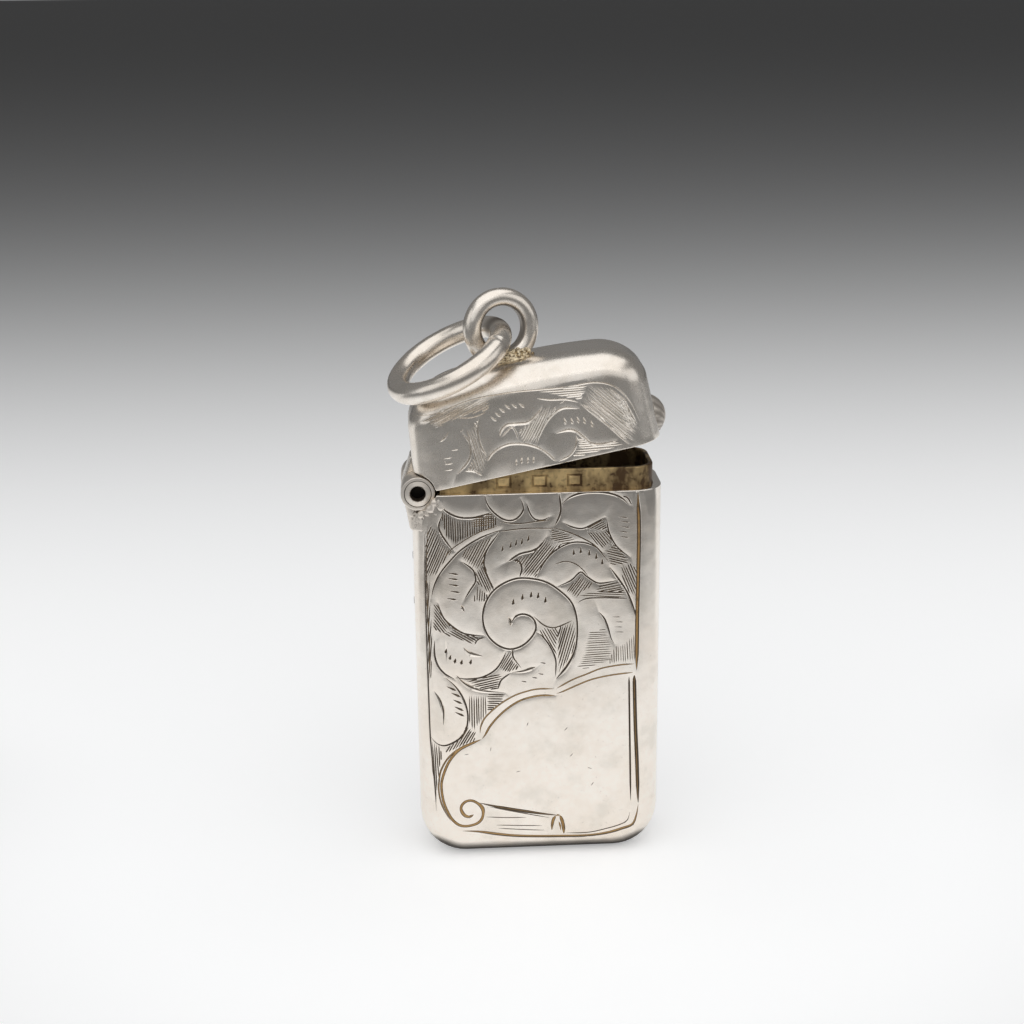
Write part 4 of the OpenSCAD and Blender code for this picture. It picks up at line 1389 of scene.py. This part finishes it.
class VESTA_OT_bearers(VestaOperator, bpy.types.Operator):
    """Solders the straps that carry the knuckles to body and lid"""

    bl_idname = "vesta.bearers"
    bl_label = "Bearers"
    SUNK = 0.15
    ROUND = 1.1
    NECK_BACK = 0.3
    NECK_SUNK = 0.3
    STRAP_LOW = 0.2
    BEARER_MELT = 0.06
    STRAP_MELT = 0.02
    LUMPS = 34
    LUMP_ANGLES = (-112, -14)
    LUMP_OUT = (1.6, 2.4)
    LUMP_RADIUS = (0.3, 0.48)
    LUMP_SUNK = 0.34
    VOXEL = 0.07
    MELT_GRAIN = 0.7
    DIRT_LEAST = 0.2
    DIRT_GROWS = 2.5

    def build(self):
        sizes = self.sizes
        half, low = sizes.hinge_half, -sizes.strap_pass
        third, gap = half / 3, sizes.knuckle_gap / 2
        parts = [self.strap(-half, half, -sizes.bearer_height, low, self.below)]
        for start, stop in ((-half, -third - gap), (third + gap, half)):
            near = start + self.NECK_BACK * MM * (start < 0)
            far = stop - self.NECK_BACK * MM * (stop > 0)
            parts.append(self.strap(near, far, low - self.NECK_SUNK * MM, -sizes.bore, self.below))
            parts += self.lumps(start, stop)
        bearer = join(parts)
        self.melt(bearer, self.BEARER_MELT)
        soil_hollows(bearer, self.DIRT_LEAST, self.DIRT_GROWS)
        finish_piece(bearer, "body_bearer_strap", "case", ["body_bearer"], "silver", "frosted_silver")
        strap = self.strap(gap - third, third - gap, self.STRAP_LOW * MM, sizes.strap_height, self.above)
        self.melt(strap, self.STRAP_MELT)
        strap.data.transform(LID_TURN)
        finish_piece(strap, "lid_bearer_strap", "lid", ["lid_bearer"], "silver", "satin_silver")

    def strap(self, start, stop, low, high, sides):
        """A bar between two levels by the hinge, whose outer and inner sides follow a rule."""
        middle = HINGE + Vector((0, (start + stop) / 2, (low + high) / 2))
        bpy.ops.mesh.primitive_cube_add(size=1, location=middle, scale=(1, stop - start, high - low))
        bar = added()

        def fit(spot):
            outer, inner = sides(spot.y, spot.z - HINGE.z)
            share = spot.x - HINGE.x + 0.5
            return Vector((HINGE.x + outer + (inner - outer) * share, spot.y, spot.z))

        with editing(bar):
            bpy.ops.mesh.select_all(action="SELECT")
            bpy.ops.mesh.subdivide(number_cuts=15)
            reshape(bar, fit)
            bpy.ops.mesh.normals_make_consistent(inside=False)
        return bar

    def below(self, y, rise):
        """Sides of the body's bearer: it thins downward, and its back follows the rounded corner."""
        sizes = self.sizes
        wall = BODY_LOW.x - HINGE.x
        outer = -sizes.strap_out - (wall - sizes.bearer_end + sizes.strap_out) * rise / sizes.bearer_height
        past = max(0, abs(y) - BODY_HIGH.y + sizes.edge_round)
        back = sizes.edge_round - math.sqrt(sizes.edge_round ** 2 - past ** 2)
        inner = wall + back + self.SUNK * MM
        short = max(0, 1 - (sizes.hinge_half - abs(y)) / (self.ROUND * MM))
        return inner + (outer - inner) * math.sqrt(max(0.02, 1 - short ** 2)), inner

    def above(self, y, rise):
        """Sides of the lid's strap: straight to its knee, then thinning to an edge on the leaning wall."""
        sizes = self.sizes
        wall = BODY_LOW.x + sizes.heel_set - HINGE.x
        thin = wall + sizes.strap_height * math.tan(sizes.heel_lean) - sizes.strap_end
        share = max(0, rise - sizes.strap_knee) / (sizes.strap_height - sizes.strap_knee)
        outer = -sizes.strap_out + (thin + sizes.strap_out) * share
        return outer, wall + rise * math.tan(sizes.heel_lean) + self.SUNK * MM

    def lumps(self, start, stop):
        """Solder that ran out below a knuckle, over the body's corner."""
        chance = random.Random(start)
        edge = self.sizes.edge_round
        parts = []
        for _ in range(self.LUMPS):
            angle = math.radians(chance.uniform(*self.LUMP_ANGLES))
            out = chance.uniform(*self.LUMP_OUT) * MM
            place = HINGE + Vector((out * math.cos(angle), 0, out * math.sin(angle)))
            past = max(0, BODY_LOW.x + edge - place.x)
            bulge = BODY_HIGH.y - edge + math.sqrt(max(0, edge ** 2 - past ** 2))
            place.y = math.copysign(bulge - self.LUMP_SUNK * MM, start + stop)
            parts.append(solder_ball(chance.uniform(*self.LUMP_RADIUS) * MM, place))
        return parts

    def melt(self, piece, depth):
        """Melts the edges a little and leaves the marks of file and solder."""
        modify(piece, "REMESH", mode="VOXEL", voxel_size=self.VOXEL * MM)
        modify(piece, "SMOOTH", factor=0.6, iterations=12)
        modify(piece, "DISPLACE", texture=clouds("solder_lumps", self.MELT_GRAIN * MM),
               texture_coords="GLOBAL", strength=depth * MM, mid_level=0.55)
        smooth(piece, 60)


def solder_ball(radius, place):
    """A small ball, to be melted into others."""
    bpy.ops.mesh.primitive_ico_sphere_add(subdivisions=2, radius=radius, location=place)
    return added()


class VESTA_OT_thumb(VestaOperator, bpy.types.Operator):
    """Carves the shell-shaped thumb piece"""

    bl_idname = "vesta.thumb"
    bl_label = "Thumb piece"
    ROOT = 0.2
    CLEAR = 0.1
    FLUTES = 20
    FLUTE_DEEP = 0.12
    FLUTE_GROWS = 0.35
    FOOT = 0.35
    DIRT_LEAST = 0.23
    DIRT_GROWS = 0.05

    def build(self):
        sizes = self.sizes
        side = BODY_HIGH.x + sizes.lid_lip
        round_off = ((sizes.thumb_height / 2) ** 2 + sizes.thumb_out ** 2) / (2 * sizes.thumb_out)
        level = HINGE.z + sizes.thumb_rise
        bpy.ops.mesh.primitive_uv_sphere_add(segments=72, ring_count=48, radius=round_off,
                                             location=(side + sizes.thumb_out - round_off, 0, level),
                                             rotation=(0, math.pi / 2, 0))
        thumb = added()

        def carve(spot):
            rise = clamp((spot.x - side) / (self.FLUTE_GROWS * MM))
            return Vector((spot.x - rise * self.FLUTE_DEEP * MM * self.flute(spot), spot.y, spot.z))

        with editing(thumb):
            slice_all((side - self.ROOT * MM, 0, 0), (1, 0, 0), clear_inner=True, use_fill=True)
            slice_all((0, 0, HINGE.z + self.CLEAR * MM), (0, 0, 1), clear_inner=True, use_fill=True)
            reshape(thumb, carve)
        smooth(thumb, 50)
        soil(thumb, lambda place: self.DIRT_LEAST + self.DIRT_GROWS * self.flute(place))
        thumb.data.transform(LID_TURN)
        finish_piece(thumb, "thumb_shell", "lid", ["thumb_piece"], "silver", "satin_silver")

    def flute(self, place):
        """0 on the ridges of the shell, 1 in the hollows; they spread from its foot."""
        foot = HINGE.z + self.sizes.thumb_rise - self.sizes.thumb_height * self.FOOT
        return 0.5 - 0.5 * math.cos(math.atan2(place.y, place.z - foot) * self.FLUTES)


def wire_ring(across, wire, around, section):
    """A ring of round wire, lying flat; the last two are its numbers of segments."""
    bpy.ops.mesh.primitive_torus_add(major_radius=across / 2 - wire / 2, minor_radius=wire / 2,
                                     major_segments=around, minor_segments=section)
    return added()


def hammer(piece, grain=1.6, depth=0.05):
    """Leaves soft hammer marks, by their size and depth in millimetres."""
    marks = clouds("hammer_marks", grain * MM)
    modify(piece, "DISPLACE", texture=marks, strength=depth * MM, mid_level=0.5)


def to_place(axis, centre):
    """A turn that stands a ring's own axis along a direction, at a place."""
    return Matrix.Translation(centre) @ Vector(axis).to_track_quat("Z", "Y").to_matrix().to_4x4()


class VESTA_OT_loop(VestaOperator, bpy.types.Operator):
    """Bends the fixed loop and files its foot flat on the crown"""

    bl_idname = "vesta.loop"
    bl_label = "Loop"
    WORN = 0.1
    SUNK = 0.1
    SOILED = 0.25
    DIRT_IN = 0.27

    def build(self):
        sizes = self.sizes
        loop = wire_ring(sizes.loop_across, sizes.loop_wire, 96, 32)
        worn = sizes.loop_across / 2 - sizes.loop_wire + self.WORN * MM

        def wear(spot):
            out = Vector((spot.x, spot.y))
            if out.length < worn:
                out *= worn / out.length
            return Vector((out.x, out.y, spot.z))

        with editing(loop):
            reshape(loop, wear)
        hammer(loop)
        loop.data.transform(to_place(LOOP_AXIS, LOOP_CENTRE))
        crown = LID_TURN @ Vector((LOOP_CENTRE.x, 0, BODY_HIGH.z + sizes.lid_height - self.SUNK * MM))
        with editing(loop):
            slice_all(crown, LID_TURN.to_3x3() @ Vector((0, 0, 1)), clear_inner=True, use_fill=True)
        smooth(loop)
        soiled = worn + self.SOILED * MM
        soil(loop, lambda place: self.DIRT_IN if self.off_axis(place) < soiled else 0)
        finish_piece(loop, "loop_wire", "lid", ["loop"], "silver", "satin_silver")

    def off_axis(self, place):
        """How far a place is from the axis of the loop's hole."""
        return (place - LOOP_CENTRE).cross(LOOP_AXIS).length


class VESTA_OT_solder(VestaOperator, bpy.types.Operator):
    """Runs rough golden solder round the loop's foot"""

    bl_idname = "vesta.solder"
    bl_label = "Solder"
    SEED = 7
    GRAINS = 90
    GRAIN_RADIUS = (0.1, 0.24)
    GRAIN_RISE = 0.75
    SPREAD = 1.75
    SLOPE = 0.75
    TOP = 0.9
    ALONG = 1.3
    TALL = 0.95
    SUNK = 0.12
    VOXEL = 0.05
    ROUGH = 0.12
    ROUGH_GRAIN = 0.3

    def build(self):
        chance = random.Random(self.SEED)
        crown = BODY_HIGH.z + self.sizes.lid_height
        middle = LID_TURN.inverted() @ LOOP_CENTRE
        bpy.ops.mesh.primitive_cone_add(vertices=48, radius1=self.SPREAD * MM, radius2=self.TOP * MM,
                                        depth=self.TALL * MM, scale=(self.ALONG, 1, 1),
                                        location=(middle.x, 0, crown + (self.TALL / 2 - self.SUNK) * MM))
        parts = [added()]
        for _ in range(self.GRAINS):
            angle = chance.uniform(0, 2 * math.pi)
            rise = chance.uniform(0, self.GRAIN_RISE)
            out = (self.SPREAD - rise * self.SLOPE) * chance.uniform(0.86, 1.08)
            along = middle.x + self.ALONG * out * math.cos(angle) * MM
            place = (along, out * math.sin(angle) * MM, crown + rise * MM)
            parts.append(solder_ball(chance.uniform(*self.GRAIN_RADIUS) * MM, place))
        solder = join(parts)
        modify(solder, "REMESH", mode="VOXEL", voxel_size=self.VOXEL * MM)
        modify(solder, "SMOOTH", factor=0.5, iterations=2)
        modify(solder, "DISPLACE", texture=clouds("solder_grain", self.ROUGH_GRAIN * MM),
               texture_coords="GLOBAL", strength=self.ROUGH * MM, mid_level=0.5)
        smooth(solder, 70)
        solder.data.transform(LID_TURN)
        finish_piece(solder, "loop_solder_crust", "lid", ["loop_solder"], "solder", "golden_solder")


class VESTA_OT_ring(VestaOperator, bpy.types.Operator):
    """Bends the hanging ring, with its soldered joint"""

    bl_idname = "vesta.ring"
    bl_label = "Ring"
    JOINT_ANGLE = math.radians(40)
    JOINT_BEAD = 0.05
    JOINT_BEAD_HALF = 0.5
    JOINT_LINE = 0.1
    JOINT_LINE_HALF = 0.14
    DIRT_AND_SHADE_MOST = 0.42
    DIRT_AND_SHADE_REACH = 8

    def build(self):
        sizes = self.sizes
        ring = wire_ring(sizes.ring_across, sizes.ring_wire, 160, 36)
        out = sizes.ring_across / 2 - sizes.ring_wire / 2

        def swell(spot):
            angle = math.atan2(spot.y, spot.x)
            spine = Vector((math.cos(angle), math.sin(angle), 0)) * out
            near = abs(angle - self.JOINT_ANGLE) * spine.length / MM
            bead = self.JOINT_BEAD * math.exp(-(near / self.JOINT_BEAD_HALF) ** 2)
            line = self.JOINT_LINE * math.exp(-(near / self.JOINT_LINE_HALF) ** 2)
            return spine + (spot - spine) * (1 + bead - line)

        with editing(ring):
            reshape(ring, swell)
        hammer(ring)
        smooth(ring, 60)
        ring.data.transform(to_place(RING_AXIS, RING_CENTRE))
        # The ring darkens toward the loop: dirt and painted shade where it passes through the loop.
        soil(ring, lambda place: self.DIRT_AND_SHADE_MOST - (place - LOOP_CENTRE).length / (self.DIRT_AND_SHADE_REACH * MM))
        finish_piece(ring, "hanging_ring_wire", "hanging_ring", ["ring"], "silver", "satin_silver")


class VESTA_OT_rivets(VestaOperator, bpy.types.Operator):
    """Closes the two rivets of the spring, domed outside and in"""

    bl_idname = "vesta.rivets"
    bl_label = "Rivets"
    SHANK = 0.4
    SHANK_PAST = 0.04
    SHANK_BACK = 0.03
    HEAD_TALL = 0.3

    def build(self):
        head = (RIVETS_HIGH.y - RIVETS_LOW.y) / 2
        long = RIVETS_HIGH.x - RIVETS_LOW.x + self.SHANK_PAST * MM
        middle = (RIVETS_LOW.x + RIVETS_HIGH.x) / 2 - self.SHANK_BACK * MM
        parts = []
        for level in (RIVETS_LOW.z + head, RIVETS_HIGH.z - head):
            parts.append(self.stud(self.SHANK * MM, long, middle, level))
            parts.append(self.stud(head, self.HEAD_TALL * MM, RIVETS_HIGH.x - self.HEAD_TALL / 2 * MM, level))
        rivets = join(parts)
        smooth(rivets)
        finish_piece(rivets, "rivets_domed", "case", ["spring_rivets"], "steel", "dull_steel")

    def stud(self, radius, long, x, level):
        """A short cylinder across the wall with rounded ends."""
        bpy.ops.mesh.primitive_cylinder_add(vertices=32, radius=radius, depth=long, location=(x, 0, level),
                                            rotation=(0, math.pi / 2, 0))
        stud = added()
        with editing(stud):
            choose(stud, "edges", lambda edge: reach_of(edge, 0) < 1e-7)
            bpy.ops.mesh.bevel(offset=min(radius, long) * 0.3, segments=4, affect="EDGES")
        return stud


class VESTA_OT_plain_pieces(VestaOperator, bpy.types.Operator):
    """Finishes the striker, pin and leaf spring, whose CAD shapes stay"""

    bl_idname = "vesta.plain_pieces"
    bl_label = "Striker, pin and spring"
    FINISHES = {"striker_plate": "worn_silver", "hinge_pin": "black_steel", "lid_spring": "dull_steel"}
    WELD = 0.001
    WORN = 0.05

    def build(self):
        for node, finish in self.FINISHES.items():
            piece = frame["nodes"][node]
            piece.data.materials.clear()
            piece.data.materials.append(bpy.data.materials[finish])
            weld = piece.modifiers.new("weld", "WELD")
            weld.merge_threshold = self.WELD * MM
            bevel = piece.modifiers.new("bevel", "BEVEL")
            bevel.width = self.WORN * MM
            bevel.segments = 2
            bevel.limit_method = "ANGLE"
            bevel.angle_limit = math.radians(35)


class VESTA_OT_stage(VestaOperator, bpy.types.Operator):
    """Lays the paper and sets up camera and lamps"""

    bl_idname = "vesta.stage"
    bl_label = "Stage"
    PAPER_ACROSS = 120
    PAPER_SUNK = 0.02
    LAMPS = (
        ("overhead", "overhead", (1.9, 2.1), (0, -0.55, 1.25), (0, -0.55, 0)),
        ("front_fill", "front_fill", (3, 1.2), (0, -2, 1), (0, 0, 0)),
        ("left_fill", "side_fill", (1.2, 1), (-1.25, -0.6, 0.55), (0, 0, 0.03)),
        ("right_fill", "side_fill", (1.2, 1), (1.25, -0.6, 0.55), (0, 0, 0.03)),
    )

    def build(self):
        scene = bpy.context.scene
        stage = scene.vesta_stage
        bpy.ops.mesh.primitive_grid_add(x_subdivisions=4, y_subdivisions=4, size=self.PAPER_ACROSS,
                                        location=(0, 0, -self.PAPER_SUNK * MM))
        floor = added()
        floor.name = "paper"
        paper_finish(self.looks, "pale_paper")
        floor.data.materials.append(bpy.data.materials["pale_paper"])
        for name, power, *where in self.LAMPS:
            self.lamp(name, getattr(stage, power), *where)
        world = scene.world or bpy.data.worlds.new("surround")
        scene.world = world
        world.use_nodes = True
        ground = world.node_tree.nodes["Background"]
        ground.inputs["Color"].default_value = (1, 1, 1, 1)
        ground.inputs["Strength"].default_value = stage.surround
        bpy.ops.object.camera_add(location=stage.camera_place)
        camera = bpy.context.object
        camera.name = "camera"
        down, right, roll = stage.camera_down, stage.camera_right, stage.camera_roll
        ahead = Vector((math.sin(right) * math.cos(down), math.cos(right) * math.cos(down), -math.sin(down)))
        aside = Vector((math.cos(right), -math.sin(right), 0))
        above = aside.cross(ahead)
        tipped = math.cos(roll) * aside - math.sin(roll) * above
        upright = math.sin(roll) * aside + math.cos(roll) * above
        camera.matrix_world = Matrix((
            (tipped.x, upright.x, -ahead.x, stage.camera_place[0]),
            (tipped.y, upright.y, -ahead.y, stage.camera_place[1]),
            (tipped.z, upright.z, -ahead.z, stage.camera_place[2]),
            (0, 0, 0, 1)))
        camera.data.sensor_width = 36
        camera.data.lens = stage.lens
        camera.data.clip_start = 0.01
        camera.data.clip_end = 200
        scene.camera = camera
        scene.view_settings.view_transform = "Standard"

    def lamp(self, name, power, across, place, aim):
        """A soft rectangular lamp that faces a place."""
        bpy.ops.object.light_add(type="AREA", location=place)
        lamp = bpy.context.object
        lamp.name = name
        lamp.data.shape = "RECTANGLE"
        lamp.data.size, lamp.data.size_y = across
        lamp.data.energy = power
        lamp.rotation_mode = "QUATERNION"
        lamp.rotation_quaternion = (Vector(aim) - Vector(place)).to_track_quat("-Z", "Y")


def paper_finish(looks, name):
    """Pale paper with a painted pool of light round the case, falling off into painted shade before and behind it.

    Part of its brightness is a glow that only the camera and polished metal see. Under the foot the
    metal sees painted shade instead, so the base stays dark.
    """
    place = new_finish(name)
    x = place.make("ShaderNodeSeparateXYZ", None, {0: place}, "X")
    y = place.make("ShaderNodeSeparateXYZ", None, {0: place}, "Y")
    camera = place.make("ShaderNodeLightPath", output="Is Camera Ray")
    metal = place.make("ShaderNodeLightPath", output="Is Glossy Ray")
    behind = y.calculate("MAXIMUM", y, 0)
    ahead = y.calculate("MINIMUM", y, 0)
    beside = x.calculate("ABSOLUTE", x, 0)
    # The paper's brightness falls off behind, ahead and to the sides: a painted pool of light.
    painted_falloff = y.calculate("POWER", behind * (1 / 217), 2.6)
    off = beside * 0.8 * y.ramp(80, 10)
    far = y.calculate("POWER", off * off + ahead * ahead, 0.5)
    bright = (0.07 + y.calculate("DIVIDE", 0.88, 1 + painted_falloff)) * (1 - far.ramp(30, 125) * 0.8)
    # Near the foot the paper is darkened for glossy rays only: painted shade under the metal's base.
    past_end = x.calculate("MAXIMUM", beside - 9, 0)
    past_side = y.calculate("MAXIMUM", y.calculate("ABSOLUTE", y, 0) - 2, 0)
    clear = (past_end * past_end + past_side * past_side).ramp(0.8, 9)
    close_finish(
        place,
        Base_Color=(bright * (1 - metal * (1 - clear) * 0.8)).mix(BLACK, looks.paper),
        Roughness=0.9 + place.noise(0.4) * 0.1,
        Specular_IOR_Level=0.1,
        Emission_Color=(bright * (camera * 0.33 + metal * clear * 0.37)).mix(BLACK, looks.paper),
        Emission_Strength=1)


class VESTA_PT_panel(bpy.types.Panel):
    """Lists the pieces and their settings in the sidebar"""

    bl_idname = "VESTA_PT_panel"
    bl_label = "Vesta case"
    bl_space_type = "VIEW_3D"
    bl_region_type = "UI"
    bl_category = "Vesta case"

    def draw(self, context):
        for operator in OPERATORS:
            self.layout.operator(operator.bl_idname)
        for group in (context.scene.vesta_sizes, context.scene.vesta_finishes, context.scene.vesta_stage):
            box = self.layout.box()
            for name in group.bl_rna.properties.keys():
                if name not in ("rna_type", "name"):
                    box.prop(group, name)


OPERATORS = [
    VESTA_OT_finishes, VESTA_OT_body, VESTA_OT_lid, VESTA_OT_collar, VESTA_OT_knuckles, VESTA_OT_bearers,
    VESTA_OT_thumb, VESTA_OT_loop, VESTA_OT_solder, VESTA_OT_ring, VESTA_OT_rivets, VESTA_OT_plain_pieces,
    VESTA_OT_stage]
GROUPS = {"vesta_sizes": VestaSizes, "vesta_finishes": VestaFinishes, "vesta_stage": VestaStage}


def register():
    for group in GROUPS.values():
        bpy.utils.register_class(group)
    for name, group in GROUPS.items():
        setattr(bpy.types.Scene, name, bpy.props.PointerProperty(type=group))
    for operator in OPERATORS:
        bpy.utils.register_class(operator)
    bpy.utils.register_class(VESTA_PT_panel)


def unregister():
    bpy.utils.unregister_class(VESTA_PT_panel)
    for operator in reversed(OPERATORS):
        bpy.utils.unregister_class(operator)
    for name, group in GROUPS.items():
        delattr(bpy.types.Scene, name)
        bpy.utils.unregister_class(group)


def main():
    """Builds everything in order."""
    register()
    for operator in OPERATORS:
        group, name = operator.bl_idname.split(".")
        getattr(getattr(bpy.ops, group), name)()


if __name__ == "__main__":
    main()
